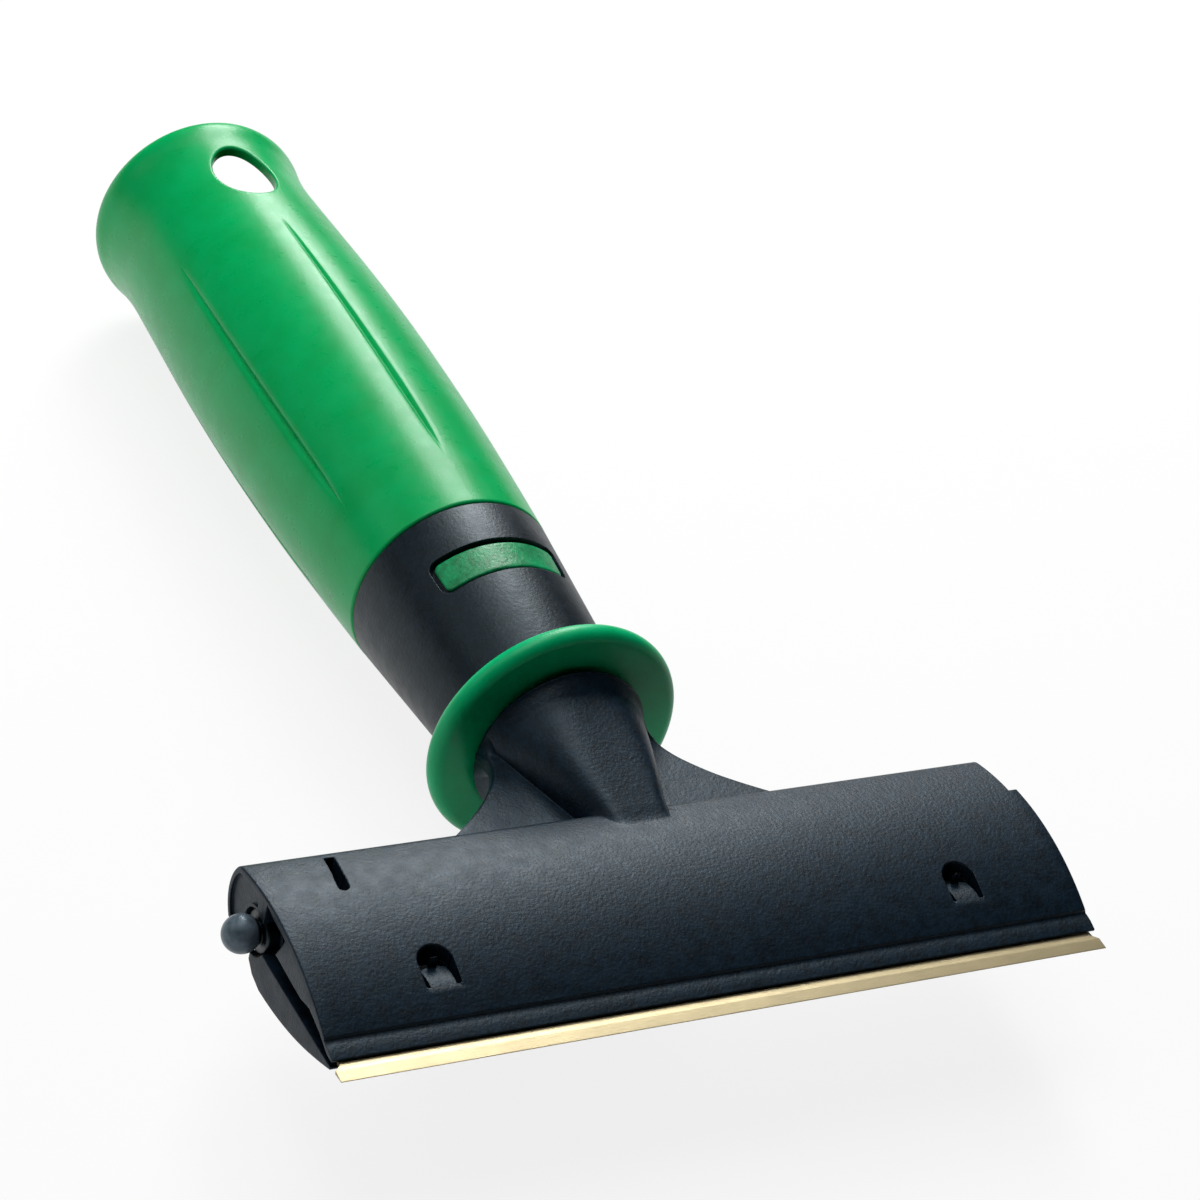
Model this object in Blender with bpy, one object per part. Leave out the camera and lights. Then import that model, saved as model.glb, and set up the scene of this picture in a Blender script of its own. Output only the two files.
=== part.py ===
"""A hand glass scraper: a wide steel blade clamped in a black head, a guard collar and a green grip.

Lengths are in metres. The design frame has its origin on the handle's axis at the guard collar:
+X runs along the blade, +Y runs from the collar to the butt, and +Z points out of the head's top.
An empty carries every piece and stands the bounding box's bottom centre on the world's origin.
What moves hangs on a second empty, which lies on the pin's axis.
"""

import math

import bmesh
import bpy

# Blade
BLADE_LENGTH = 0.150
BLADE_DEPTH = 0.0298
BLADE_THICKNESS = 0.0006
BLADE_REACH = 0.0757
EDGE_RISE = 0.0014
BEVEL_DEPTH = 0.0024
BLADE_EAR = 0.0012
BLADE_TILT = math.radians(3.0)

# Head frame. A setback is measured from the blade's edge towards the collar, and a rise from the axis
CROWN_RADIUS = 0.050
CROWN_SETBACK = 0.0312
CROWN_RISE = 0.0093
LIP_SETBACK = 0.0042
LIP_DEPTH = 0.0038
LIP_STEP = 0.0007
LIP_EDGE = 0.00035
SPINE_RADIUS = 0.0086
SPINE_MIDDLE_SETBACK = 0.0397
SPINE_MIDDLE_RISE = 0.0013
SPINE_TOP_RUN = 0.0058
HEEL_RUN = 0.0036
HEEL_DROP = 0.0043
SPINE_RIGHT_INSET = 0.0019
SPINE_INSET_SETBACK = 0.0351
END_NOTCH = 0.0007
CAVITY_SETBACK = 0.0277
CAVITY_RISE = 0.0031
CAVITY_CROWN_RISE = 0.0040

# Neck and webs
NECK_START = 0.0023
NECK_RADIUS = 0.0170
SHOULDER = 0.0010
NECK_OVERLAP = 0.0036
CREST_RISE = 0.0154
CREST_END_RISE = 0.0083
KEEL_DROP = 0.0146
KEEL_END_DROP = 0.0060
RIDGE_HALF_WIDTH = 0.0162
RIDGE_END_HALF_WIDTH = 0.0058
WEB_RISE = 0.0029
WEB_TOP_ROUNDING = 0.0008
WEB_DROP = 0.0034
WEB_BOTTOM_ROUNDING = 0.0090
WEB_EDGE_RISE = 0.0017
WEB_EDGE_THICKNESS = 0.0006
WEB_HALF_WIDTH = 0.0173
WEB_FLARE = 0.0180
WEB_FLARE_START_SHARE = 0.265
WEB_FLARE_INSET = 0.0028

# Pin, knob, spring and clip
PIN_SETBACK = 0.0367
PIN_RISE = 0.0007
PIN_RADIUS = 0.0016
PIN_END_INSET = 0.0095
PIN_TRAVEL = 0.0035
NECKED_RADIUS = 0.0010
KNOB_RADIUS = 0.0034
KNOB_REACH = 0.0057
KNOB_SKIRT = 0.0065
KNOB_WALL = 0.0025
CHANNEL_RADIUS = 0.0063
END_CHANNEL_RADIUS = 0.0055
FRAME_KNUCKLE_RADIUS = 0.0060
JAW_KNUCKLE_RADIUS = 0.0056
END_POCKET_DEPTH = 0.0115
END_KNUCKLE_LENGTH = 0.0075
MIDDLE_KNUCKLE_HALF_LENGTH = 0.0040
RIGHT_KNUCKLE_LENGTH = 0.0190
SPRING_WIRE = 0.0006
SPRING_MIDDLE_RADIUS = 0.0026
SPRING_TURNS = 4
CLIP_INSET = 0.0143
CLIP_THICKNESS = 0.0008
CLIP_LEG = 0.0009
CLIP_RISE = 0.0040
CLIP_DROP = 0.0018
SLOT_WIDTH = 0.0020
SLOT_SLANT = 0.15
SLOT_MOUTH_DROP = 0.0048
PLUG_RADIUS = 0.0030
PLUG_LENGTH = 0.0024

# Clamp jaw and its catch hooks
JAW_SETBACK = 0.0368
JAW_HEEL_DROP = 0.0052
JAW_KEEL_SETBACK = 0.0312
JAW_KEEL_DROP = 0.0076
JAW_CORNER_SETBACK = 0.0345
JAW_CORNER_DROP = 0.0069
JAW_EDGE = 0.0004
JAW_BULGE = 0.0015
JAW_END_POCKET_RADIUS = 0.0047
RIB_POCKET_DEPTH = 0.0030
RIB_POCKET_COUNT = 4
RIB_POCKET_WIDTH = 0.0150
RIB_POCKET_SETBACK = 0.0277
RIB_WALL = 0.0030
HOOK_INSET = 0.0232
HOOK_SETBACK = 0.0196
HOOK_THICKNESS = 0.0014
HOOK_WIDTH = 0.0034
HOOK_RISE = 0.0048
HOOK_FOOT_WIDTH = 0.0080
HOOK_FOOT_DEPTH = 0.0050
HOOK_FOOT_HEIGHT = 0.0022
WINDOW_CLEARANCE = 0.0008
WINDOW_DEPTH = 0.0035
WINDOW_WIDTH = 0.0064
LANDING_RUN = 0.0030
LANDING_LENGTH = 0.0058
LANDING_SINK = 0.0024

# Guard collar
COLLAR_RADIUS = 0.0247
COLLAR_RIM = 0.0022
COLLAR_RIM_MIDDLE = 0.0002
COLLAR_BORE = 0.0138
COLLAR_LENGTH = 0.0044
COLLAR_BACK_RADIUS = 0.0176
COLLAR_FACE = 0.0019

# Handle core: the black band, the tang's pocket and the pole socket
BAND_START = 0.0047
BAND_START_RADIUS = 0.0173
BAND_END = 0.0440
BAND_END_RADIUS = 0.0207
CORE_END = 0.1480
TANG_SIDE = 0.0200
TANG_CORNER = 0.0050
TANG_END = 0.0300
BULKHEAD_START = 0.0340
BULKHEAD = 0.0060
SOCKET_BOTTOM_RADIUS = 0.0125
SOCKET_MOUTH_RADIUS = 0.0152
BADGE_START = 0.0263
BADGE_HEIGHT = 0.0069
BADGE_CORNER = 0.0014
BADGE_HALF_ANGLE = math.radians(39.5)
BADGE_TURN = math.radians(-1.5)
BADGE_MARGIN = 0.0008
BADGE_POCKET_DEPTH = 0.0016
BADGE_THICKNESS = 0.0010
BADGE_SINK = 0.0003

# Grip sleeve
GRIP_END = 0.1801
GRIP_RADIUS = 0.0235
GRIP_WALL = 0.0034
CUP_WALL = 0.0021
GROOVE_COUNT = 6
GROOVE_START = 0.0600
GROOVE_END = 0.1420
GROOVE_HALF_WIDTH = 0.0011
GROOVE_DEPTH = 0.0009
EYE_MIDDLE = 0.1610
EYE_LENGTH = 0.0180
EYE_WIDTH = 0.0124

# Tang screw, washer and insert
SCREW_RADIUS = 0.0029
SCREW_HEAD_RADIUS = 0.0055
SCREW_HEAD_HEIGHT = 0.0040
SCREW_REACH = 0.0150
DRIVE_RADIUS = 0.0023
DRIVE_DEPTH = 0.0024
WASHER_RADIUS = 0.0070
WASHER_THICKNESS = 0.0012
INSERT_RADIUS = 0.0042
INSERT_LENGTH = 0.0160

# Clearances
GAP = 0.0003
PIN_GAP = 0.0001
OVERRUN = 0.0020

# Facets
ROUND = 48
SMALL_ROUND = 20
ARC_STEPS = 10

# Places along the grip and radii there, as shares of the sleeve's length and of its largest radius
GRIP_PROFILE_SHARES = (
    (0.000, 0.883),
    (0.115, 0.926),
    (0.255, 0.970),
    (0.400, 0.994),
    (0.520, 1.000),
    (0.630, 0.990),
    (0.740, 0.967),
    (0.830, 0.946),
    (0.890, 0.938),
    (0.940, 0.956),
    (0.975, 0.986),
    (0.992, 0.974),
    (1.000, 0.936),
)

# Places that follow, measured from the collar: backwards to the blade, and sideways to the head's ends
HALF_LENGTH = BLADE_LENGTH / 2
GRIP_LENGTH = GRIP_END - BAND_END
CROWN_BACK = BLADE_REACH - CROWN_SETBACK
LIP_BACK = BLADE_REACH - LIP_SETBACK
LIP_STEP_BACK = LIP_BACK - LIP_DEPTH
SPINE_MIDDLE_BACK = BLADE_REACH - SPINE_MIDDLE_SETBACK
SPINE_TOP_BACK = SPINE_MIDDLE_BACK - SPINE_TOP_RUN
HEEL_BACK = SPINE_MIDDLE_BACK - HEEL_RUN
SPINE_INSET_BACK = BLADE_REACH - SPINE_INSET_SETBACK
CAVITY_BACK = BLADE_REACH - CAVITY_SETBACK
WEB_FLARE_START = SPINE_TOP_BACK * WEB_FLARE_START_SHARE
WEB_FLARE_END = SPINE_TOP_BACK - WEB_FLARE_INSET
PIN_BACK = BLADE_REACH - PIN_SETBACK
PIN_RIGHT_END = HALF_LENGTH - PIN_END_INSET
RIGHT_KNUCKLE_START = HALF_LENGTH - RIGHT_KNUCKLE_LENGTH
CLIP_POSITION = HALF_LENGTH - CLIP_INSET
JAW_BACK = BLADE_REACH - JAW_SETBACK
JAW_KEEL_BACK = BLADE_REACH - JAW_KEEL_SETBACK
JAW_CORNER_BACK = BLADE_REACH - JAW_CORNER_SETBACK
RIB_POCKET_BACK = BLADE_REACH - RIB_POCKET_SETBACK
HOOK_PLACE = HALF_LENGTH - HOOK_INSET
HOOK_BACK = BLADE_REACH - HOOK_SETBACK
WINDOW_BACK = HOOK_BACK - WINDOW_CLEARANCE
LANDING_START = WINDOW_BACK + LANDING_RUN
LANDING_END = LANDING_START + LANDING_LENGTH


def scene_cleared():
    for thing in list(bpy.data.objects):
        bpy.data.objects.remove(thing, do_unlink=True)


def finish(name, colour, roughness, metallic=0.0):
    material = bpy.data.materials.new(name)
    material.use_nodes = True
    shader = material.node_tree.nodes["Principled BSDF"]
    shader.inputs["Base Color"].default_value = (*colour, 1.0)
    shader.inputs["Roughness"].default_value = roughness
    shader.inputs["Metallic"].default_value = metallic
    return material


def origin_empty():
    """The empty that stands the bounding box's bottom centre on the world's origin."""
    empty = bpy.data.objects.new("scraper_origin", None)
    knob_tip = -HALF_LENGTH - KNOB_REACH
    middle_x = (knob_tip + HALF_LENGTH) / 2
    middle_y = (GRIP_END - BLADE_REACH) / 2
    empty.location = (-middle_x, -middle_y, COLLAR_RADIUS)
    bpy.context.scene.collection.objects.link(empty)
    return empty


def pin_empty():
    """The empty on the pin's axis, which carries the jaw's pieces and the pin's."""
    empty = bpy.data.objects.new("pin_axis", None)
    empty.parent = ORIGIN
    empty.location = (0, -PIN_BACK, PIN_RISE)
    bpy.context.scene.collection.objects.link(empty)
    return empty


def solid(name, points, faces):
    """A mesh object whose faces point outwards, carried by the origin empty."""
    mesh = bpy.data.meshes.new(name)
    mesh.from_pydata(points, [], faces)
    shape = bmesh.new()
    shape.from_mesh(mesh)
    bmesh.ops.recalc_face_normals(shape, faces=shape.faces)
    shape.to_mesh(mesh)
    shape.free()
    mesh.shade_smooth()
    mesh.set_sharp_from_angle(angle=math.radians(35))
    thing = bpy.data.objects.new(name, mesh)
    bpy.context.scene.collection.objects.link(thing)
    thing.parent = ORIGIN
    return thing


def helper(thing):
    thing.hide_render = True
    thing.display_type = "WIRE"
    return thing


def combine(target, other, operation):
    modifier = target.modifiers.new(other.name, "BOOLEAN")
    modifier.operation = operation
    modifier.object = helper(other)
    modifier.solver = "EXACT"


def cut(target, *cutters):
    for cutter in cutters:
        combine(target, cutter, "DIFFERENCE")


def join(target, *others):
    for other in others:
        combine(target, other, "UNION")


def prism(name, outline, start, end, place):
    """The outline swept from start to end. place(a, b, t) gives the point for an outline point at t."""
    count = len(outline)
    points = [place(a, b, start) for a, b in outline] + [place(a, b, end) for a, b in outline]
    faces = [tuple(range(count)), tuple(range(2 * count - 1, count - 1, -1))]
    for i in range(count):
        j = (i + 1) % count
        faces.append((i, j, count + j, count + i))
    return solid(name, points, faces)


def along_x(a, b, t):
    return (t, a, b)


def along_y(a, b, t):
    return (a, t, b)


def along_z(a, b, t):
    return (a, b, t)


def box(name, low, high):
    outline = [(low[1], low[2]), (high[1], low[2]), (high[1], high[2]), (low[1], high[2])]
    return prism(name, outline, low[0], high[0], along_x)


def even_angles(count):
    return [2 * math.pi * i / count for i in range(count)]


def around_handle(t, radius, angle):
    return (radius * math.sin(angle), t, radius * math.cos(angle))


def around_pin(t, radius, angle):
    return (t, -PIN_BACK + radius * math.sin(angle), PIN_RISE + radius * math.cos(angle))


def turned(name, profile, place, angles, dent=None):
    """A solid turned round an axis. The profile is closed, or it starts and ends on the axis."""
    points = []
    rings = []
    for t, radius in profile:
        if radius == 0:
            rings.append([len(points)] * len(angles))
            points.append(place(t, radius, 0))
            continue
        rings.append(list(range(len(points), len(points) + len(angles))))
        for angle in angles:
            points.append(place(t, radius - (dent(t, radius, angle) if dent else 0), angle))
    on_axis = profile[0][1] == 0
    pairs = list(zip(rings, rings[1:]))
    if not on_axis:
        pairs.append((rings[-1], rings[0]))
    faces = []
    for low, high in pairs:
        for i in range(len(angles)):
            j = (i + 1) % len(angles)
            corners = [low[i], low[j], high[j], high[i]]
            faces.append(tuple(dict.fromkeys(corners)))
    return solid(name, points, faces)


def rod(name, start, end, radius, place, sides=SMALL_ROUND):
    return turned(name, [(start, 0), (start, radius), (end, radius), (end, 0)], place, even_angles(sides))


def tube(name, start, end, inner, outer, place, sides=SMALL_ROUND):
    profile = [(start, inner), (start, outer), (end, outer), (end, inner)]
    return turned(name, profile, place, even_angles(sides))


def arc(centre, radius, start, end, steps=ARC_STEPS):
    """Points of an arc of a circle, in degrees counted from the first axis towards the second."""
    points = []
    for i in range(steps + 1):
        angle = math.radians(start + (end - start) * i / steps)
        points.append((centre[0] + radius * math.cos(angle), centre[1] + radius * math.sin(angle)))
    return points


def bowed(start, end, bulge, steps=ARC_STEPS):
    """Points from start to end on a shallow curve that stands out to the right by bulge."""
    along = (end[0] - start[0], end[1] - start[1])
    length = math.hypot(*along)
    side = (along[1] / length, -along[0] / length)
    points = []
    for step in range(steps + 1):
        share = step / steps
        lift = 4 * share * (1 - share) * bulge
        points.append([start[i] + along[i] * share + side[i] * lift for i in (0, 1)])
    return points


def rounded_square(side, corner, steps=4):
    half = side / 2 - corner
    outline = []
    for x, y, turn in ((half, half, 0), (-half, half, 90), (-half, -half, 180), (half, -half, 270)):
        outline += arc((x, y), corner, turn, turn + 90, steps)
    return outline


def smooth_profile(shares, length, radius, start, steps=2):
    """A smooth curve through the profile's points (Catmull-Rom), as places and radii."""
    knots = [shares[0]] + list(shares) + [shares[-1]]
    found = []
    for a, b, c, d in zip(knots, knots[1:], knots[2:], knots[3:]):
        for i in range(steps):
            u = i / steps
            pair = []
            for p, q, r, s in zip(a, b, c, d):
                bend = (2 * q) + (r - p) * u + (2 * p - 5 * q + 4 * r - s) * u**2
                pair.append((bend + (3 * q - p - 3 * r + s) * u**3) / 2)
            found.append(pair)
    found.append(shares[-1])
    return [(start + length * t, radius * r) for t, r in found]


def crown(y):
    """Height of the head's domed top at y."""
    across = y + CROWN_BACK
    return CROWN_RISE - CROWN_RADIUS + math.sqrt(CROWN_RADIUS**2 - across**2)


def blade_level(y):
    """Height of the blade's middle plane at y."""
    return EDGE_RISE - (y + BLADE_REACH) * math.tan(BLADE_TILT)


def blade_top(y):
    return blade_level(y) + BLADE_THICKNESS / 2


def blade_bottom(y):
    return blade_level(y) - BLADE_THICKNESS / 2


def frame_outline():
    """Section of the head frame: domed top, thin front lip, cavity over the blade, knuckle and spine."""
    outline = []
    for i in range(ARC_STEPS + 1):
        y = -SPINE_TOP_BACK - (LIP_STEP_BACK - SPINE_TOP_BACK) * i / ARC_STEPS
        outline.append((y, crown(y)))
    under_lip = blade_top(-LIP_BACK) + GAP
    outline.append((-LIP_STEP_BACK - LIP_STEP / 2, crown(-LIP_STEP_BACK) - LIP_STEP))
    outline.append((-LIP_BACK, under_lip + LIP_EDGE))
    outline.append((-LIP_BACK, under_lip))
    pinch = -(LIP_STEP_BACK + LIP_BACK) / 2
    outline.append((pinch, blade_top(pinch) + GAP))
    rise = pinch + (LIP_BACK - LIP_STEP_BACK)
    outline.append((rise, CAVITY_RISE))
    outline.append((-(CAVITY_BACK + 2 * LIP_STEP_BACK) / 3, CAVITY_CROWN_RISE))
    outline.append((-(CAVITY_BACK + LIP_STEP_BACK) / 2, CAVITY_RISE))
    start = 180 - math.degrees(math.asin((CAVITY_RISE - PIN_RISE) / FRAME_KNUCKLE_RADIUS))
    outline += arc((-PIN_BACK, PIN_RISE), FRAME_KNUCKLE_RADIUS, start, 322, 2 * ARC_STEPS)
    outline.append((-HEEL_BACK, -HEEL_DROP))
    middle = (-SPINE_MIDDLE_BACK, SPINE_MIDDLE_RISE)
    low = -math.degrees(math.asin((SPINE_MIDDLE_RISE + HEEL_DROP) / SPINE_RADIUS))
    return outline + arc(middle, SPINE_RADIUS, low, 42, 2 * ARC_STEPS)


def web_half_width(y):
    """Half width of the webs that run from the collar to the spine, with a hollow curved edge."""
    share = (-WEB_FLARE_START - y) / (WEB_FLARE_END - WEB_FLARE_START)
    start = NECK_RADIUS + (WEB_HALF_WIDTH - NECK_RADIUS) * min(1, -y / WEB_FLARE_START)
    return start + WEB_FLARE * min(1, max(0, share)) ** 1.6


def neck_columns(foot, half_width):
    """Places across the neck: close together on the ridge and at the edges, further apart between."""
    ridge_columns, web_columns = 8, 6
    one_side = [foot * math.sin(math.pi / 2 * i / ridge_columns) for i in range(1, ridge_columns + 1)]
    for i in range(1, web_columns + 1):
        one_side.append(foot + (half_width - foot) * math.sin(math.pi / 2 * i / web_columns))
    return [-x for x in reversed(one_side)] + [0] + one_side


def neck_top(across, share, foot, half_width):
    """Height of the neck's top: a ridge that sinks towards the spine, between flat webs."""
    inward = min(1, (half_width - across) / WEB_TOP_ROUNDING)
    level = WEB_EDGE_RISE + (WEB_RISE - WEB_EDGE_RISE) * math.sqrt(inward * (2 - inward))
    crest = CREST_RISE + (CREST_END_RISE - CREST_RISE) * share
    return level + (crest - level) * max(0, 1 - (across / foot) ** 2) ** 0.7


def neck_bottom(across, share, foot, half_width):
    """Height of the neck's underside: a keel between webs that thin out to their edges."""
    inward = min(1, (half_width - across) / WEB_BOTTOM_ROUNDING)
    edge = WEB_EDGE_RISE - WEB_EDGE_THICKNESS
    level = edge - (WEB_DROP + edge) * math.sqrt(inward * (2 - inward))
    keel = -KEEL_DROP + (KEEL_DROP - KEEL_END_DROP) * share
    return level + (keel - level) * max(0, 1 - (across / foot) ** 2) ** 0.7


def neck_row(y, share):
    """Points across the neck at y, top and bottom. The shoulder at the collar is round."""
    half_width = web_half_width(y)
    foot = RIDGE_HALF_WIDTH + (RIDGE_END_HALF_WIDTH - RIDGE_HALF_WIDTH) * share
    blend = min(1, 9 * share) ** 0.7
    top, bottom = [], []
    for x in neck_columns(foot, half_width):
        across = abs(x)
        barrel = math.sqrt(max(WEB_EDGE_THICKNESS**2, NECK_RADIUS**2 - across**2))
        high = neck_top(across, share, foot, half_width)
        low = neck_bottom(across, share, foot, half_width)
        top.append((x, y, barrel + (high - barrel) * blend))
        bottom.append((x, y, -barrel + (low + barrel) * blend))
    return top, bottom


def neck():
    """The neck and its webs, lofted from a round shoulder at the collar into the spine."""
    rows = 15
    length = SPINE_TOP_BACK + NECK_OVERLAP - NECK_START - SHOULDER
    sections = [neck_row(-NECK_START, 0)]
    for i in range(rows):
        share = (i / (rows - 1)) ** 1.4
        sections.append(neck_row(-NECK_START - SHOULDER - length * share, share))
    points, top, bottom = [], [], []
    for high, low in sections:
        top.append(range(len(points), len(points) + len(high)))
        points += high
        bottom.append(range(len(points), len(points) + len(low)))
        points += low
    faces = []
    columns = len(top[0])
    for i in range(len(sections) - 1):
        for j in range(columns - 1):
            faces.append((top[i][j], top[i][j + 1], top[i + 1][j + 1], top[i + 1][j]))
            faces.append((bottom[i][j], bottom[i + 1][j], bottom[i + 1][j + 1], bottom[i][j + 1]))
        for j in (0, columns - 1):
            faces.append((top[i][j], top[i + 1][j], bottom[i + 1][j], bottom[i][j]))
    for i in (0, len(sections) - 1):
        for j in range(columns - 1):
            faces.append((top[i][j], bottom[i][j], bottom[i][j + 1], top[i][j + 1]))
    return solid("neck", points, faces)


def window_outline(x):
    """The catch window: round at the rear, square at the front."""
    radius = WINDOW_WIDTH / 2
    rear = -WINDOW_BACK
    half_round = [(x + a, rear - radius + b) for a, b in arc((0, 0), radius, 0, 180)]
    front = rear - WINDOW_DEPTH
    return half_round + [(x - radius, front), (x + radius, front)]


def landing_outline():
    """The ramp in front of a catch window, which runs out at the head's surface."""
    rear, front = -LANDING_START, -LANDING_END
    above = CROWN_RISE + OVERRUN
    return [(rear, crown(rear) - LANDING_SINK), (rear, above), (front, above), (front, crown(front) - GAP / 2)]


def clip_slots():
    """The slot that the pin's clip goes in by: round in front, open at the top and at the spine."""
    half = SLOT_WIDTH / 2
    reach = NECKED_RADIUS + CLIP_LEG + 2 * GAP
    front, rear = -PIN_BACK - reach, -PIN_BACK + reach
    floor = PIN_RISE - CLIP_DROP - GAP
    above = CROWN_RISE + OVERRUN
    mouth = crown(-SPINE_TOP_BACK) - SLOT_MOUTH_DROP

    def slanted(x, y, z):
        return (x - CLIP_POSITION + SLOT_SLANT * (y + PIN_BACK), y, z)

    nose = [(x, front + half + y) for x, y in arc((0, 0), half, 180, 360)]
    well = prism("clip_well", nose + [(half, rear), (-half, rear)], floor, above, slanted)
    side = half - GAP / 4
    behind = -SPINE_TOP_BACK + SPINE_RADIUS
    ends = [(-side, front + half), (side, front + half), (side, behind), (-side, behind)]
    return well, prism("clip_mouth", ends, mouth, above, slanted)


def frame_knuckles():
    """Stretches along X where the frame, and not the jaw, goes round the pin."""
    left = -HALF_LENGTH + END_POCKET_DEPTH
    return [
        (left, left + END_KNUCKLE_LENGTH),
        (-MIDDLE_KNUCKLE_HALF_LENGTH, MIDDLE_KNUCKLE_HALF_LENGTH),
        (RIGHT_KNUCKLE_START, HALF_LENGTH),
    ]


def hinge_room(name, end_radius, other_radius, spans, tail):
    """One turned cutter along the pin: rooms for the other piece's knuckles, and bores between them."""
    bore = PIN_RADIUS + PIN_GAP
    profile = [(-HALF_LENGTH - OVERRUN, 0), (-HALF_LENGTH - OVERRUN, end_radius)]
    profile += [(spans[0][0], end_radius), (spans[0][0], other_radius if spans[0][2] else bore)]
    for (_, end, wide), (_, _, next_wide) in zip(spans, spans[1:]):
        profile.append((end, other_radius if wide else bore))
        profile.append((end, other_radius if next_wide else bore))
    return turned(name, profile + tail, around_pin, even_angles(2 * SMALL_ROUND))


def frame_hinge_room():
    knuckles = frame_knuckles()
    spans = [(knuckles[0][0], knuckles[0][1], False)]
    for low, high in zip(knuckles, knuckles[1:]):
        spans.append((low[1], high[0], True))
        spans.append((high[0], high[1], False))
    bore = PIN_RADIUS + PIN_GAP
    plug_floor = HALF_LENGTH - SPINE_RIGHT_INSET - PLUG_LENGTH - GAP
    past = HALF_LENGTH + OVERRUN
    tail = [(plug_floor, bore), (plug_floor, PLUG_RADIUS), (past, PLUG_RADIUS), (past, 0)]
    return hinge_room("frame_hinge_room", END_CHANNEL_RADIUS, CHANNEL_RADIUS, spans, tail)


def end_channel_floor():
    """What the round channel leaves below the knob is cleared too, as far as the jaw."""
    reach = CHANNEL_RADIUS + GAP
    front, rear = -PIN_BACK - reach, -PIN_BACK + END_CHANNEL_RADIUS * 0.8
    outline = [(front, PIN_RISE), (front, -2 * reach), (rear, -2 * reach), (rear, PIN_RISE - reach / 2)]
    outline.append((-PIN_BACK, PIN_RISE))
    start = -HALF_LENGTH - OVERRUN
    return prism("end_channel_floor", outline, start, -HALF_LENGTH + END_POCKET_DEPTH, along_x)


def head_frame():
    frame = prism("head_frame", frame_outline(), -HALF_LENGTH, HALF_LENGTH, along_x)
    join(frame, neck())
    boss_start = -NECK_START - NECK_OVERLAP
    boss = rod("neck_boss", boss_start, COLLAR_LENGTH, COLLAR_BORE - GAP, around_handle, ROUND)
    tang = prism("tang", rounded_square(TANG_SIDE, TANG_CORNER), boss_start - GAP, TANG_END, along_y)
    join(frame, boss, tang)
    cut(frame, frame_hinge_room(), end_channel_floor())
    for side in (-1, 1):
        x = side * HOOK_PLACE
        low, high = CAVITY_RISE - OVERRUN, CROWN_RISE + OVERRUN
        cut(frame, prism(f"window_{side}", window_outline(x), low, high, along_z))
        half = WINDOW_WIDTH / 2 - GAP / 4
        cut(frame, prism(f"landing_{side}", landing_outline(), x - half, x + half, along_x))
    cut(frame, *clip_slots())
    tall = COLLAR_RADIUS
    past = HALF_LENGTH + OVERRUN
    step_low = (HALF_LENGTH - SPINE_RIGHT_INSET, -SPINE_INSET_BACK, -tall)
    step = box("right_step", step_low, (past, 0, tall))
    notch_high = (-HALF_LENGTH + END_NOTCH, -SPINE_INSET_BACK, tall)
    notch = box("left_notch", (-past, -SPINE_INSET_BACK - END_NOTCH, PIN_RISE), notch_high)
    insert_end = TANG_END - INSERT_LENGTH - GAP
    profile = [(SCREW_REACH - OVERRUN, 0), (SCREW_REACH - OVERRUN, SCREW_RADIUS + GAP)]
    profile += [(insert_end, SCREW_RADIUS + GAP), (insert_end, INSERT_RADIUS + GAP)]
    profile += [(TANG_END + OVERRUN, INSERT_RADIUS + GAP), (TANG_END + OVERRUN, 0)]
    screw_way = turned("screw_way", profile, around_handle, even_angles(SMALL_ROUND))
    cut(frame, step, notch, screw_way)
    return frame


def jaw_outline():
    """Section of the clamp jaw: blade seat on top, bowed skin below, heel under the pin."""
    seat_front = (-LIP_BACK, blade_bottom(-LIP_BACK) - GAP)
    seat_rear_y = -BLADE_REACH + BLADE_DEPTH
    seat_rear = (seat_rear_y, blade_bottom(seat_rear_y) - GAP)
    lip = (seat_front[0], seat_front[1] - JAW_EDGE)
    skin = bowed(lip, (-JAW_KEEL_BACK, -JAW_KEEL_DROP), JAW_BULGE)
    corner = (-JAW_CORNER_BACK, -JAW_CORNER_DROP)
    heel = (-JAW_BACK, -JAW_HEEL_DROP)
    shelf = (-JAW_BACK, seat_rear[1])
    return [seat_front] + skin + [corner, heel, shelf, seat_rear]


def jaw_hinge_room():
    knuckles = frame_knuckles()
    spans = [(knuckles[0][0] - GAP, knuckles[0][1] + GAP, True)]
    for low, high in zip(knuckles, knuckles[1:]):
        spans.append((low[1] + GAP, high[0] - GAP, False))
        spans.append((high[0] - GAP, high[1] + GAP, True))
    past = HALF_LENGTH + OVERRUN
    tail = [(past, CHANNEL_RADIUS), (past, 0)]
    return hinge_room("jaw_hinge_room", JAW_END_POCKET_RADIUS, CHANNEL_RADIUS, spans, tail)


def rib_pockets():
    """Hollows moulded into the jaw under the blade, with walls between them and beside the hooks."""
    reach = HOOK_PLACE - HOOK_FOOT_WIDTH / 2 - RIB_WALL
    pitch = (2 * reach + RIB_WALL) / RIB_POCKET_COUNT
    half = (pitch - RIB_WALL) / 2
    pockets = []
    for number in range(RIB_POCKET_COUNT):
        middle = (number + 0.5) * pitch - reach - RIB_WALL / 2
        rear = -RIB_POCKET_BACK
        front = rear - RIB_POCKET_WIDTH
        above = blade_bottom(front) + OVERRUN
        outline = [(rear, blade_bottom(rear) - RIB_POCKET_DEPTH), (rear, above), (front, above)]
        outline.append((front, blade_bottom(front) - RIB_POCKET_DEPTH * 0.7))
        pockets.append(prism(f"rib_pocket_{number}", outline, middle - half, middle + half, along_x))
    return pockets


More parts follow.
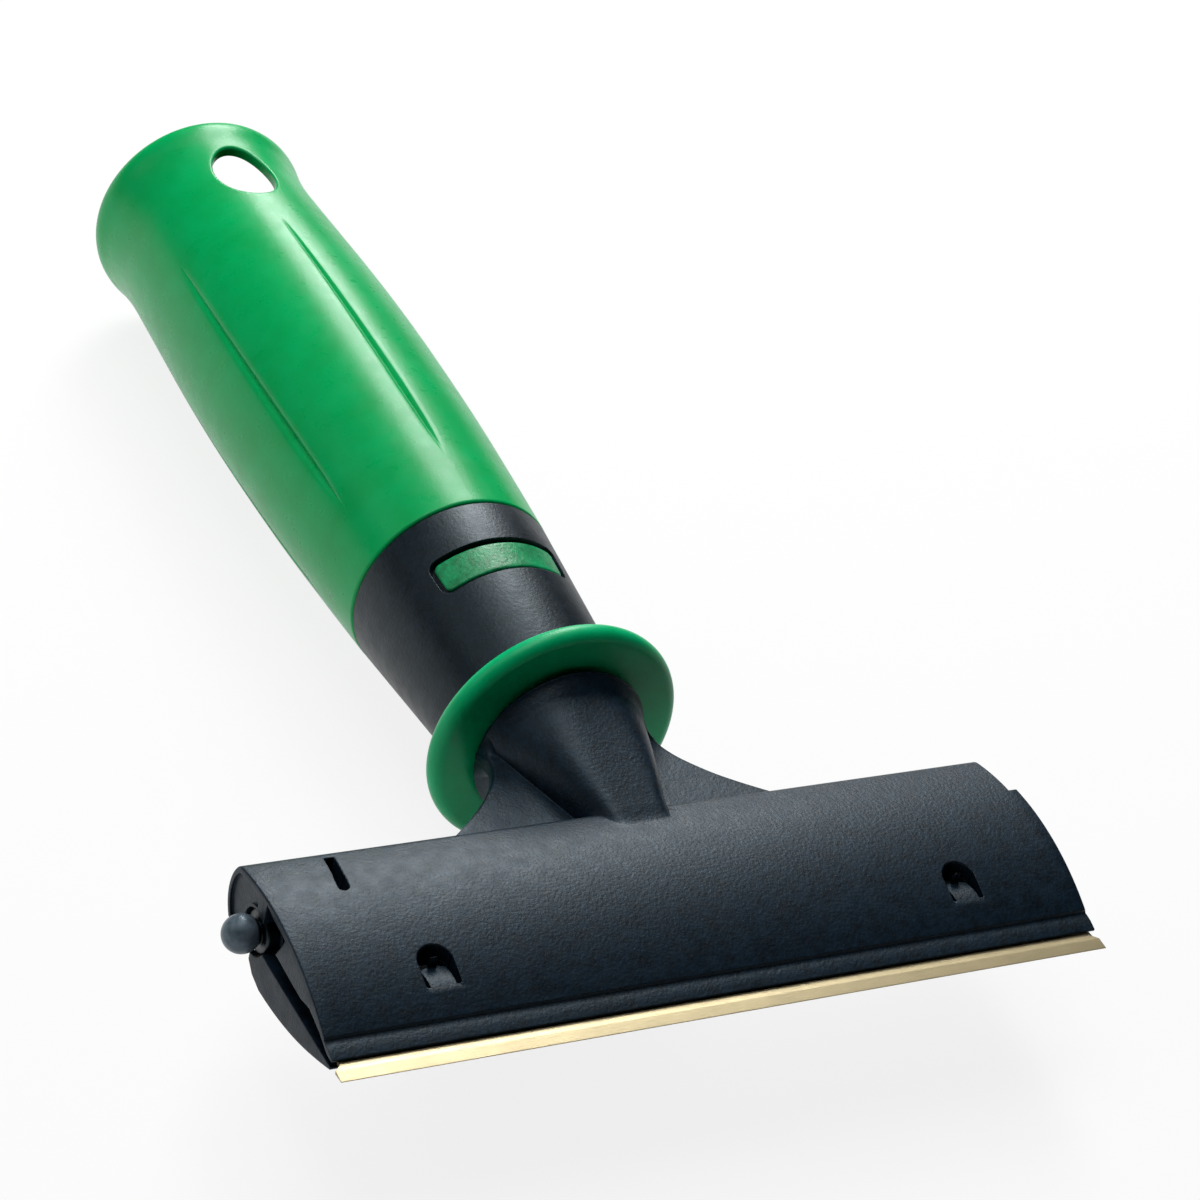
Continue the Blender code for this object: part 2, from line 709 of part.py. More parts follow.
def hook_pocket(side):
    x = side * HOOK_PLACE
    half = HOOK_FOOT_WIDTH / 2 + GAP
    middle = -HOOK_BACK - HOOK_THICKNESS / 2
    reach = HOOK_FOOT_DEPTH / 2 + GAP
    floor = blade_bottom(-HOOK_BACK) - 2 * GAP - HOOK_FOOT_HEIGHT
    low = (x - half, middle - reach, floor - GAP)
    high = (x + half, middle + reach, floor + HOOK_FOOT_HEIGHT + OVERRUN)
    return box(f"hook_pocket_{side}", low, high)


def clamp_jaw():
    jaw = prism("clamp_jaw", jaw_outline(), -HALF_LENGTH, HALF_LENGTH, along_x)
    cut(jaw, *rib_pockets())
    cut(jaw, hook_pocket(-1), hook_pocket(1))
    spans = frame_knuckles()
    start = (spans[0][0] + spans[0][1]) / 2
    end = spans[-1][0] + (start - spans[0][0])
    join(jaw, rod("jaw_knuckles", start, end, JAW_KNUCKLE_RADIUS, around_pin, 2 * SMALL_ROUND))
    cut(jaw, jaw_hinge_room())
    return jaw


def scraper_blade():
    """The blade: flat steel with a bevel ground to the edge and oval holes for the catch hooks."""
    rear = -BLADE_REACH + BLADE_DEPTH
    ground = -BLADE_REACH + BEVEL_DEPTH
    keen = BLADE_THICKNESS / 12
    tip = blade_level(-BLADE_REACH)
    outline = [(rear, blade_bottom(rear)), (rear, blade_top(rear)), (ground, blade_top(ground))]
    outline += [(-BLADE_REACH, tip + keen), (-BLADE_REACH, tip - keen), (ground, blade_bottom(ground))]
    blade = prism("scraper_blade", outline, -HALF_LENGTH, HALF_LENGTH, along_x)
    for side in (-1, 1):
        outer = side * (HALF_LENGTH + OVERRUN)
        inner = side * (HALF_LENGTH - BLADE_EAR)
        edge = side * HALF_LENGTH
        ear = [(outer, rear + OVERRUN), (outer, ground), (edge, ground), (inner, ground + BLADE_EAR)]
        ear.append((inner, rear + OVERRUN))
        cut(blade, prism(f"blade_ear_{side}", ear, -COLLAR_BORE, COLLAR_BORE, along_z))
        x = side * HOOK_PLACE
        radius = HOOK_FOOT_DEPTH / 2
        run = (HOOK_WIDTH + 2 * GAP) / 2
        middle = -HOOK_BACK - HOOK_THICKNESS / 2
        hole = arc((x + run, middle), radius, -90, 90) + arc((x - run, middle), radius, 90, 270)
        cut(blade, prism(f"blade_hole_{side}", hole, -COLLAR_BORE, COLLAR_BORE, along_z))
    return blade


def catch_hook(name, side):
    """A hook on a foot: the foot sits in the jaw, and the upright passes the blade into the window."""
    x = side * HOOK_PLACE
    rear = -HOOK_BACK
    front = rear - HOOK_THICKNESS
    middle = (rear + front) / 2
    foot_top = blade_bottom(rear) - 2 * GAP
    foot_low = foot_top - HOOK_FOOT_HEIGHT
    reach = HOOK_FOOT_DEPTH / 2
    half = HOOK_FOOT_WIDTH / 2
    foot = box(name, (x - half, middle - reach, foot_low), (x + half, middle + reach, foot_top))
    nose = HOOK_THICKNESS / 3
    inside = foot_top - HOOK_FOOT_HEIGHT / 2
    outline = [(rear, inside), (rear, HOOK_RISE - 3 * nose), (rear + nose / 2, HOOK_RISE - 2 * nose)]
    outline += [(rear - nose, HOOK_RISE), (front, HOOK_RISE - nose), (front, inside)]
    half = HOOK_WIDTH / 2
    join(foot, prism(f"{name}_upright", outline, x - half, x + half, along_x))
    return foot


def hinge_pin():
    """The rod that the jaw swings on, with a long neck for its clip."""
    start = -HALF_LENGTH - KNOB_REACH + KNOB_WALL
    clip_left = -CLIP_POSITION - CLIP_THICKNESS / 2
    clip_right = -CLIP_POSITION + CLIP_THICKNESS / 2
    neck_start = clip_left - PIN_TRAVEL - GAP
    neck_end = clip_right + GAP
    profile = [(start, 0), (start, PIN_RADIUS), (neck_start, PIN_RADIUS), (neck_start, NECKED_RADIUS)]
    profile += [(neck_end, NECKED_RADIUS), (neck_end, PIN_RADIUS), (PIN_RIGHT_END, PIN_RADIUS)]
    profile.append((PIN_RIGHT_END, 0))
    return turned("hinge_pin", profile, around_pin, even_angles(SMALL_ROUND))


def release_knob():
    """The domed knob on the pin's left end, with a blind bore for the pin."""
    tip = -HALF_LENGTH - KNOB_REACH
    inner = tip + KNOB_REACH + KNOB_SKIRT - KNOB_REACH / 2
    bore_end = tip + KNOB_WALL - GAP
    bore = PIN_RADIUS + GAP / 2
    dome = []
    for i in range(1, 7):
        angle = math.pi / 2 * i / 6
        dome.append((tip + KNOB_RADIUS * (1 - math.cos(angle)), KNOB_RADIUS * math.sin(angle)))
    rim = KNOB_RADIUS / 6
    profile = [(tip, 0)] + dome + [(inner - rim, KNOB_RADIUS), (inner, KNOB_RADIUS - rim)]
    profile += [(inner, bore), (bore_end, bore), (bore_end, 0)]
    return turned("release_knob", profile, around_pin, even_angles(SMALL_ROUND))


def spring_span():
    knob_end = -HALF_LENGTH + KNOB_SKIRT - KNOB_REACH / 2
    wall = -HALF_LENGTH + END_POCKET_DEPTH
    return knob_end + GAP + SPRING_WIRE / 2, wall - GAP - SPRING_WIRE / 2


def return_spring():
    """The coil spring between the knob and the frame, one unbroken wire."""
    start, end = spring_span()
    per_turn = 10
    count = SPRING_TURNS * per_turn + 1
    route = []
    for i in range(count):
        share = i / (count - 1)
        angle = 2 * math.pi * SPRING_TURNS * share
        route.append(around_pin(start + (end - start) * share, SPRING_MIDDLE_RADIUS, angle))
    turn_gap = (end - start) / SPRING_TURNS - SPRING_WIRE
    print(f"return spring: least gap between turns {turn_gap * 1000:.2f} mm")
    curve = bpy.data.curves.new("return_spring", "CURVE")
    curve.dimensions = "3D"
    spline = curve.splines.new("POLY")
    spline.points.add(count - 1)
    for point, place in zip(spline.points, route):
        point.co = (*place, 1.0)
    curve.bevel_depth = SPRING_WIRE / 2
    curve.bevel_resolution = 1
    curve.use_fill_caps = True
    spring = bpy.data.objects.new("return_spring", curve)
    bpy.context.scene.collection.objects.link(spring)
    spring.parent = ORIGIN
    return spring


def pin_clip():
    """A flat fork that straddles the pin's neck from above."""
    inner = NECKED_RADIUS + GAP
    outer = inner + CLIP_LEG
    low = PIN_RISE - CLIP_DROP
    bridge = PIN_RISE + NECKED_RADIUS + GAP
    high = PIN_RISE + CLIP_RISE
    y = -PIN_BACK
    outline = [(y - outer, high), (y - outer, low), (y - inner, low), (y - inner, bridge)]
    outline += [(y + inner, bridge), (y + inner, low), (y + outer, low), (y + outer, high)]
    start = -CLIP_POSITION - CLIP_THICKNESS / 2
    return prism("pin_clip", outline, start, start + CLIP_THICKNESS, along_x)


def bore_plug():
    end = HALF_LENGTH - SPINE_RIGHT_INSET
    rim = PLUG_RADIUS / 8
    radius = PLUG_RADIUS - GAP
    profile = [(end - PLUG_LENGTH, 0), (end - PLUG_LENGTH, radius), (end - rim, radius), (end, radius - rim)]
    profile.append((end, 0))
    return turned("bore_plug", profile, around_pin, even_angles(SMALL_ROUND))


def collar_ring():
    """The guard collar: a flange with a flat face and a rounded rim, bored for the neck's boss."""
    rim = arc((COLLAR_RIM_MIDDLE, COLLAR_RADIUS - COLLAR_RIM), COLLAR_RIM, 190, 30, 8)
    profile = [(-COLLAR_FACE, COLLAR_BORE), (-COLLAR_FACE, COLLAR_RADIUS - COLLAR_RIM - GAP)] + rim
    profile += [(COLLAR_LENGTH, COLLAR_BACK_RADIUS), (COLLAR_LENGTH, COLLAR_BORE)]
    return turned("collar_ring", profile, around_handle, even_angles(ROUND))


def band_radius(y):
    share = (y - BAND_START) / (BAND_END - BAND_START)
    return BAND_START_RADIUS + (BAND_END_RADIUS - BAND_START_RADIUS) * share


def grip_radius(y):
    profile = smooth_profile(GRIP_PROFILE_SHARES, GRIP_LENGTH, GRIP_RADIUS, BAND_END)
    for (low, a), (high, b) in zip(profile, profile[1:]):
        if low <= y <= high:
            return a + (b - a) * (y - low) / (high - low)
    return profile[-1][1]


def rounded_bar(reach, half_height, corner, steps=4, columns=13):
    """Half heights of a bar with rounded corners, at places along it."""
    straight = reach - corner
    ends = []
    for i in range(steps + 1):
        angle = math.pi / 2 * i / steps
        ends.append((straight + corner * math.sin(angle), half_height - corner + corner * math.cos(angle)))
    inside = [(straight * (2 * i / columns - 1), half_height) for i in range(1, columns)]
    return [(-across, height) for across, height in reversed(ends)] + inside + ends


def curved_plate(name, inner, outer, margin):
    """A plate bent round the handle, with rounded corners. inner and outer are depths under the band."""
    middle = BADGE_START + BADGE_HEIGHT / 2
    radius = band_radius(middle)
    bar = rounded_bar(BADGE_HALF_ANGLE * radius + margin, BADGE_HEIGHT / 2 + margin, BADGE_CORNER + margin)
    points, faces = [], []
    for across, height in bar:
        for depth in (inner, outer):
            for y in (middle - height, middle + height):
                points.append(around_handle(y, band_radius(y) - depth, across / radius + BADGE_TURN))
    for i in range(len(bar) - 1):
        a, b = 4 * i, 4 * (i + 1)
        faces += [(a, a + 1, b + 1, b), (a + 2, b + 2, b + 3, a + 3)]
        faces += [(a, b, b + 2, a + 2), (a + 1, a + 3, b + 3, b + 1)]
    last = 4 * (len(bar) - 1)
    faces += [(0, 2, 3, 1), (last, last + 1, last + 3, last + 2)]
    return solid(name, points, faces)


def handle_core():
    """The stiff black core: bare band, pocket for the tang, bulkhead and tapered pole socket."""
    step_radius = grip_radius(BAND_END) - GRIP_WALL - GAP
    socket_start = BULKHEAD_START + BULKHEAD
    profile = [(BAND_START, 0), (BAND_START, BAND_START_RADIUS), (BAND_END, BAND_END_RADIUS)]
    profile.append((BAND_END, step_radius))
    under = [(y, r - GRIP_WALL - GAP) for y, r in sleeve_profile() if BAND_END + GAP < y < CORE_END - GAP]
    profile += under[::2]
    profile += [(CORE_END, grip_radius(CORE_END) - GRIP_WALL - GAP), (CORE_END, SOCKET_MOUTH_RADIUS)]
    profile += [(socket_start, SOCKET_BOTTOM_RADIUS), (socket_start, 0)]
    core = turned("handle_core", profile, around_handle, even_angles(ROUND))
    pocket = rounded_square(TANG_SIDE + 2 * GAP, TANG_CORNER + GAP)
    cut(core, prism("tang_pocket", pocket, BAND_START - OVERRUN, BULKHEAD_START, along_y))
    hole = SCREW_RADIUS + GAP
    cut(core, rod("screw_hole", BULKHEAD_START - OVERRUN, socket_start + OVERRUN, hole, around_handle))
    cut(core, curved_plate("badge_pocket", BADGE_POCKET_DEPTH, -OVERRUN, BADGE_MARGIN))
    return core


def band_badge():
    outer = BADGE_SINK
    return curved_plate("band_badge", outer + BADGE_THICKNESS, outer, 0)


def sleeve_profile():
    return smooth_profile(GRIP_PROFILE_SHARES, GRIP_LENGTH, GRIP_RADIUS, BAND_END)


def groove_dent(y, radius, angle):
    """Depth of the shallow grooves: full at their lines, nothing beside them, tapered at both ends."""
    inside = radius < GRIP_RADIUS - GRIP_WALL * 3 / 4
    if inside or not GROOVE_START < y < GROOVE_END:
        return 0
    sector = 2 * math.pi / GROOVE_COUNT
    off = abs((angle + sector / 2) % sector - sector / 2)
    if off > GROOVE_HALF_WIDTH / GRIP_RADIUS / 2:
        return 0
    share = (y - GROOVE_START) / (GROOVE_END - GROOVE_START)
    return GROOVE_DEPTH * math.sqrt(min(1, 4 * share) * (1 - share))


def groove_angles():
    """Angles round the sleeve: three at each groove, even ones between."""
    sector = 2 * math.pi / GROOVE_COUNT
    half = GROOVE_HALF_WIDTH / GRIP_RADIUS
    between = 6
    angles = []
    for number in range(GROOVE_COUNT):
        middle = number * sector
        angles += [middle - half, middle, middle + half]
        run = sector - 2 * half
        angles += [middle + half + run * i / between for i in range(1, between)]
    return angles


def grip_sleeve():
    """The soft sleeve: waisted outside, grooved, hollow at the butt, with an eye in its top wall."""
    outside = sleeve_profile()
    cup = [(y, r - CUP_WALL) for y, r in outside if CORE_END + GAP < y < GRIP_END - CUP_WALL]
    inside = [(y, r - GRIP_WALL) for y, r in outside if BAND_END + GAP < y < CORE_END]
    start = (BAND_END + GAP, BAND_END_RADIUS)
    profile = [start] + [point for point in outside if point[0] > BAND_END + GAP]
    profile.append((GRIP_END, outside[-1][1] - CUP_WALL / 2))
    profile += cup[::-2]
    profile.append((CORE_END + GAP, grip_radius(CORE_END) - CUP_WALL))
    profile.append((CORE_END + GAP, grip_radius(CORE_END) - GRIP_WALL))
    profile += inside[::-2]
    profile.append((BAND_END + GAP, grip_radius(BAND_END) - GRIP_WALL))
    sleeve = turned("grip_sleeve", profile, around_handle, groove_angles(), groove_dent)
    eye = []
    for angle in even_angles(2 * SMALL_ROUND):
        eye.append((EYE_WIDTH / 2 * math.cos(angle), EYE_MIDDLE + EYE_LENGTH / 2 * math.sin(angle)))
    cut(sleeve, prism("eye", eye, GRIP_RADIUS / 3, GRIP_RADIUS + OVERRUN, along_z))
    return sleeve


def tang_screw():
    """The screw that holds the tang, its head in the bottom of the socket."""
    seat = BULKHEAD_START + BULKHEAD + WASHER_THICKNESS + 2 * GAP
    top = seat + SCREW_HEAD_HEIGHT
    rim = SCREW_HEAD_HEIGHT / 4
    profile = [(SCREW_REACH, 0), (SCREW_REACH, SCREW_RADIUS), (seat, SCREW_RADIUS), (seat, SCREW_HEAD_RADIUS)]
    profile += [(top - rim, SCREW_HEAD_RADIUS), (top, SCREW_HEAD_RADIUS - rim), (top, 0)]
    screw = turned("tang_screw", profile, around_handle, even_angles(SMALL_ROUND))
    cut(screw, rod("drive", top - DRIVE_DEPTH, top + OVERRUN, DRIVE_RADIUS, around_handle, 6))
    return screw


def screw_washer():
    start = BULKHEAD_START + BULKHEAD + GAP
    end = start + WASHER_THICKNESS
    return tube("screw_washer", start, end, SCREW_RADIUS + GAP, WASHER_RADIUS, around_handle, ROUND // 2)


def tang_insert():
    start, end = TANG_END - INSERT_LENGTH, TANG_END - GAP
    return tube("tang_insert", start, end, SCREW_RADIUS + GAP, INSERT_RADIUS, around_handle)


def dressed(thing, material):
    thing.data.materials.append(material)
    return thing


def moving(thing):
    """Hangs a piece on the empty at the pin, and leaves it where it is."""
    thing.parent = PIN_AXIS
    thing.location = (0, PIN_BACK, -PIN_RISE)
    return thing


scene_cleared()
ORIGIN = origin_empty()
PIN_AXIS = pin_empty()

dressed(head_frame(), finish("head_plastic", (0.030, 0.038, 0.050), 0.55))
dressed(moving(clamp_jaw()), finish("jaw_plastic", (0.026, 0.032, 0.042), 0.55))
dressed(moving(scraper_blade()), finish("blade_steel", (0.72, 0.66, 0.50), 0.30, 1.0))
dressed(moving(catch_hook("left_catch_hook", -1)), finish("left_hook_steel", (0.020, 0.022, 0.026), 0.45))
dressed(moving(catch_hook("right_catch_hook", 1)), finish("right_hook_steel", (0.020, 0.022, 0.026), 0.45))
dressed(moving(hinge_pin()), finish("pin_steel", (0.60, 0.61, 0.62), 0.30, 1.0))
dressed(moving(release_knob()), finish("knob_plastic", (0.035, 0.042, 0.052), 0.45))
dressed(moving(return_spring()), finish("spring_steel", (0.60, 0.61, 0.62), 0.30, 1.0))
dressed(pin_clip(), finish("clip_steel", (0.50, 0.51, 0.52), 0.35, 1.0))
dressed(bore_plug(), finish("plug_plastic", (0.030, 0.036, 0.046), 0.50))
dressed(collar_ring(), finish("collar_green", (0.010, 0.36, 0.13), 0.40))
dressed(handle_core(), finish("core_plastic", (0.032, 0.036, 0.046), 0.50))
dressed(band_badge(), finish("badge_green", (0.010, 0.40, 0.15), 0.40))
dressed(grip_sleeve(), finish("grip_green", (0.008, 0.38, 0.14), 0.45))
dressed(tang_screw(), finish("screw_steel", (0.58, 0.59, 0.60), 0.30, 1.0))
dressed(screw_washer(), finish("washer_steel", (0.58, 0.59, 0.60), 0.35, 1.0))
dressed(tang_insert(), finish("insert_brass", (0.72, 0.55, 0.25), 0.35, 1.0))
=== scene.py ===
"""Looks of a hand glass scraper: a wide blade in a black head, a guard collar and a grooved green grip.

Shapes are worked out in the handle's own coordinates, in metres: +X along the blade, +Y from the collar
to the butt, +Z out of the head's top. ORIGIN, read from the frame, stands them in the row frame.
"""

import math

import bmesh
import bpy
from mathutils import Matrix, Vector

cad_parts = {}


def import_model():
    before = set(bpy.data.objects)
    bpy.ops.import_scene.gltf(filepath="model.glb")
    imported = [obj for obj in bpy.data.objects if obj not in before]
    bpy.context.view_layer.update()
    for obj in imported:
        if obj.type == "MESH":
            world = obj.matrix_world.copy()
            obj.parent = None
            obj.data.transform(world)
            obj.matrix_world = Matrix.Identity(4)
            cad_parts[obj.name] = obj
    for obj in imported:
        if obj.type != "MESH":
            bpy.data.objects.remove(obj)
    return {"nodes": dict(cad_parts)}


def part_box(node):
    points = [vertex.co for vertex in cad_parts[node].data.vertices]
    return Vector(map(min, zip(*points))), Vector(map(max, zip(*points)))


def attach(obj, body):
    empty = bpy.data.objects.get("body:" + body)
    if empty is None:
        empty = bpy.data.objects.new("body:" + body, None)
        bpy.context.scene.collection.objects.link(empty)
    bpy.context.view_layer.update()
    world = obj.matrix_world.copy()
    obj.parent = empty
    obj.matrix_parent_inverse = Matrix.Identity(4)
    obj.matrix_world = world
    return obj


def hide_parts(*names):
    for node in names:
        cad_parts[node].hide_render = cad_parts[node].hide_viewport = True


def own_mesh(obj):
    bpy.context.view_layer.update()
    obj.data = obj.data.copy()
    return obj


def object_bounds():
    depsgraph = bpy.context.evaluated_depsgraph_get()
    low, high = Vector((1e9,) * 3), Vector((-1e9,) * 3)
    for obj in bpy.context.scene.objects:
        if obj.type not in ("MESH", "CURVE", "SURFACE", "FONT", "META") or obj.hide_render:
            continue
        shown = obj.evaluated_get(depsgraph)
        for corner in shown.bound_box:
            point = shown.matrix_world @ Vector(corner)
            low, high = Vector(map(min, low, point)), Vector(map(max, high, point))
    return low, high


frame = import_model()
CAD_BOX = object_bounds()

# Places read from the frame
COLLAR_LENGTH = 0.0044
COLLAR_LOW, COLLAR_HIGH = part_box("collar_ring")
ORIGIN = Vector((
    (COLLAR_LOW.x + COLLAR_HIGH.x) / 2,
    COLLAR_HIGH.y - COLLAR_LENGTH,
    (COLLAR_LOW.z + COLLAR_HIGH.z) / 2,
))
HALF_LENGTH = (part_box("clamp_jaw")[1].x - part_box("clamp_jaw")[0].x) / 2
BLADE_REACH = ORIGIN.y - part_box("scraper_blade")[0].y
COLLAR_RADIUS = (COLLAR_HIGH.z - COLLAR_LOW.z) / 2
GRIP_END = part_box("grip_sleeve")[1].y - ORIGIN.y
SPRING_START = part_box("return_spring")[0].x - ORIGIN.x
SPRING_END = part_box("return_spring")[1].x - ORIGIN.x

# Camera, as it stands to the object in the photograph
CAMERA_PLACE = (-0.30277, -0.48042, 0.41600)
CAMERA_RIGHT = (0.8712, -0.4361, 0.2256)
CAMERA_UP = (0.0949, 0.6004, 0.7940)
CAMERA_FORWARD = (0.4817, 0.6704, -0.5644)
CAMERA_LENS = 108.0
CAMERA_SENSOR = 36.0

# Light: shares and radiances, where 1 is white
FLOOR_TONE = 0.93
FLOOR_GLOW = 0.85
WORLD_LEVEL = 0.08
FLOOR_HALF = 4.0
LAMP_DISTANCE = 1.1

# Lamps: azimuth and elevation in degrees, width, height and radiance
LAMPS = {
    "key": (26, 39, 0.34, 0.78, 13.5),
    "top": (-30, 75, 0.80, 0.60, 3.6),
    "left": (-68, 36, 0.70, 0.50, 1.3),
}

# Materials: tints of the gloss, and sizes shared by the plastics and by the metals
WHITE = (1.0, 1.0, 1.0, 1.0)
SLATE = (0.72, 0.90, 1.0, 1.0)
PLASTIC_EDGE = 0.0003
PATCH_NOISE_SIZE = 0.003
STEEL_EDGE = 0.0002
EDGE_SAMPLES = 6
EDGE_MASK_COSINES = (0.97, 0.80)
SCRATCH_DEPTH = 0.00002

# Blade
BLADE_DEPTH = 0.0298
BLADE_THICKNESS = 0.0006
EDGE_RISE = 0.0014
BEVEL_DEPTH = 0.0024
HONE_DEPTH = 0.0005
HONE_HALF = 0.000108
BLADE_EAR = 0.0012
BLADE_END_INSET = 0.0030
BLADE_TILT = math.radians(3.0)

# Head frame. A place named BACK is measured from the collar towards the blade, and a rise from the axis
CROWN_RADIUS = 0.050
CROWN_BACK = BLADE_REACH - 0.0312
CROWN_RISE = 0.0093
LIP_BACK = BLADE_REACH - 0.0042
LIP_DEPTH = 0.0038
LIP_STEP = 0.0007
LIP_EDGE = 0.00035
SPINE_RADIUS = 0.0086
SPINE_MIDDLE_BACK = BLADE_REACH - 0.0397
SPINE_MIDDLE_RISE = 0.0013
SPINE_TOP_RUN = 0.0058
HEEL_RUN = 0.0036
HEEL_DROP = 0.0043
KNUCKLE_END_DEGREES = 322
SPINE_RIGHT_INSET = 0.0019
SPINE_INSET_BACK = BLADE_REACH - 0.0351
END_ROUNDING = 0.00035
PANEL_RIM = 0.0011
PANEL_DEPTH = 0.0005
PANEL_PLACES = (0.0305, 0.0320, 0.0340, 0.0360, 0.0380)
PANEL_OUTER_DEGREES = (-42, 36)
PANEL_INNER_DEGREES = (84, -28)
SPINE_ROUNDING = 0.0030
RECESS_RIM = 0.0013
RECESS_DEPTH = 0.0028
RECESS_WELL_DEPTH = 0.0085
RECESS_WALL = 0.0008
RECESS_WALL_RISE = 0.00406
RECESS_BACK = 0.0412
RECESS_FRONT = 0.0492
RECESS_CORNERS = ((0.0003, 0.0066), (0.0021, 0.0027))
RECESS_FLOOR_RUN = 0.0052
RECESS_FLOOR_RISE = -0.0005
RECESS_INNER_RISE = 0.0010
RECESS_WALL_DEGREES = (165, 118)
CAVITY_BACK = BLADE_REACH - 0.0277
CAVITY_RISE = 0.0031
CAVITY_CROWN_RISE = 0.0040

# Neck and webs
NECK_START = 0.0023
NECK_RADIUS = 0.0170
SHOULDER = 0.0010
SHOULDER_ROUNDING = 0.0009
NECK_OVERLAP = 0.0036
CREST_RISE = 0.0154
CREST_END_RISE = 0.0083
KEEL_DROP = 0.0146
KEEL_END_DROP = 0.0060
RIDGE_HALF_WIDTH = 0.0162
RIDGE_END_HALF_WIDTH = 0.0058
WEB_RISE = 0.0029
WEB_TOP_ROUNDING = 0.0008
WEB_DROP = 0.0034
WEB_BOTTOM_ROUNDING = 0.0090
WEB_EDGE_RISE = 0.0017
WEB_EDGE_THICKNESS = 0.0006
WEB_HALF_WIDTH = 0.0173
WEB_FLARE = 0.0180
WEB_FLARE_START_SHARE = 0.265
WEB_FLARE_INSET = 0.0028
MELT_SINK = 0.00003
MELT_EDGE = 0.0003
MELT_RIDGE = 0.0024
CREST_DIVE = 0.0012
CREST_DIVE_START = 0.88
MELT_RUN = 0.0062
RIDGE_POWER = 0.7
RIDGE_END_POWER = 0.5
RIDGE_FLATTENING = 6
BARREL_FADE = 9
WEB_FLARE_POWER = 1.6
NECK_ROW_POWER = 1.4
NECK_ROWS = 55
MELT_ROWS = 14
RIDGE_COLUMNS = 22
WEB_COLUMNS = 14

# Pin, knob, spring and slot
PIN_BACK = BLADE_REACH - 0.0367
PIN_RISE = 0.0007
PIN_RADIUS = 0.0016
NECKED_RADIUS = 0.0010
KNOB_RADIUS = 0.0034
KNOB_REACH = 0.0057
KNOB_SKIRT = 0.0065
KNOB_BALL_TURN = math.radians(140)
KNOB_WALL = 0.0025
KNOB_FLANGE = 0.0031
KNOB_FLANGE_RADIUS = 0.0040
CHANNEL_RADIUS = 0.0063
CHANNEL_FLOOR_RUN = 0.0044
KNOB_CHANNEL_RADIUS = 0.0042
FRAME_KNUCKLE_RADIUS = 0.0060
JAW_KNUCKLE_RADIUS = 0.0056
END_POCKET_DEPTH = 0.0115
END_KNUCKLE_LENGTH = 0.0075
MIDDLE_KNUCKLE_HALF_LENGTH = 0.0040
RIGHT_KNUCKLE_LENGTH = 0.0190
SPRING_WIRE = 0.0006
SPRING_MIDDLE_RADIUS = 0.0026
SPRING_TURNS = 4
SPRING_TURN_STEPS = 40
SPRING_SIDES = 12
CLIP_INSET = 0.0143
CLIP_LEG = 0.0009
CLIP_DROP = 0.0018
SLOT_WIDTH = 0.0020
SLOT_SLANT = 0.15
SLOT_MOUTH_DROP = 0.0030
SLOT_MOUTH_BACK = 0.0312
SLOT_CHAMFER = 0.00012
PLUG_RADIUS = 0.0030
PLUG_LENGTH = 0.0024

# Clamp jaw, and the head's windows for its hooks
JAW_BACK = BLADE_REACH - 0.0368
JAW_HEEL_DROP = 0.0052
JAW_KEEL_BACK = BLADE_REACH - 0.0312
JAW_KEEL_DROP = 0.0076
JAW_CORNER_BACK = BLADE_REACH - 0.0345
JAW_CORNER_DROP = 0.0069
JAW_EDGE = 0.0004
JAW_BULGE = 0.0015
JAW_THIN_STEPS = 6
JAW_END_POCKET_RADIUS = 0.0043
RIB_POCKET_DEPTH = 0.0030
RIB_POCKET_FRONT_DEPTH = 0.0021
RIB_POCKET_COUNT = 4
RIB_POCKET_WIDTH = 0.0150
RIB_POCKET_BACK = BLADE_REACH - 0.0277
RIB_WALL = 0.0030
HOOK_INSET = 0.0232
HOOK_BACK = BLADE_REACH - 0.0196
HOOK_THICKNESS = 0.0014
HOOK_WIDTH = 0.0034
HOOK_FOOT_WIDTH = 0.0080
HOOK_FOOT_DEPTH = 0.0050
HOOK_FOOT_HEIGHT = 0.0022
WINDOW_CLEARANCE = 0.0008
WINDOW_DEPTH = 0.0035
WINDOW_WIDTH = 0.0064
WINDOW_CHAMFER = 0.00015
CHAMFER_LIFT = 0.00006
TONGUE_RUN = 0.0023
TONGUE_BOW = 0.0013
TONGUE_GAP = 0.0008
TONGUE_UNDERSIDE = 0.0052
LANDING_RUN = 0.0030
LANDING_LENGTH = 0.0052
LANDING_SINK = 0.0020
TONGUE_SLIT_SINK = 0.0036

# Guard collar
COLLAR_RIM = 0.0022
COLLAR_RIM_MIDDLE = 0.0002
COLLAR_RIM_DEGREES = (176, 30)
COLLAR_BORE = 0.0138
COLLAR_BACK_RADIUS = 0.0176
COLLAR_DISH = 0.00045

# Handle core, its band and badge, and the pole socket
BAND_START = 0.0047
BAND_START_RADIUS = 0.0173
BAND_END = 0.0440
BAND_END_RADIUS = 0.0207
BAND_ROUNDING = 0.0004
CORE_END = 0.1480
TANG_SIDE = 0.0200
TANG_CORNER = 0.0050
TANG_END = 0.0300
BULKHEAD_START = 0.0340
BULKHEAD = 0.0060
SOCKET_BOTTOM_RADIUS = 0.0125
SOCKET_MOUTH_RADIUS = 0.0152
BADGE_START = 0.0263
BADGE_HEIGHT = 0.0069
BADGE_CORNER = 0.0014
BADGE_HALF_ANGLE = math.radians(39.5)
BADGE_TURN = math.radians(-1.5)
BADGE_MARGIN = 0.0008
BADGE_POCKET_DEPTH = 0.0016
BADGE_THICKNESS = 0.0010
BADGE_SINK = 0.0003
BADGE_ROUNDING = 0.00045
PLATE_COLUMNS = 61
PLATE_ROWS = (-1, -0.985, -0.95, -0.9, -0.8, -0.5, 0, 0.5, 0.8, 0.9, 0.95, 0.985, 1)

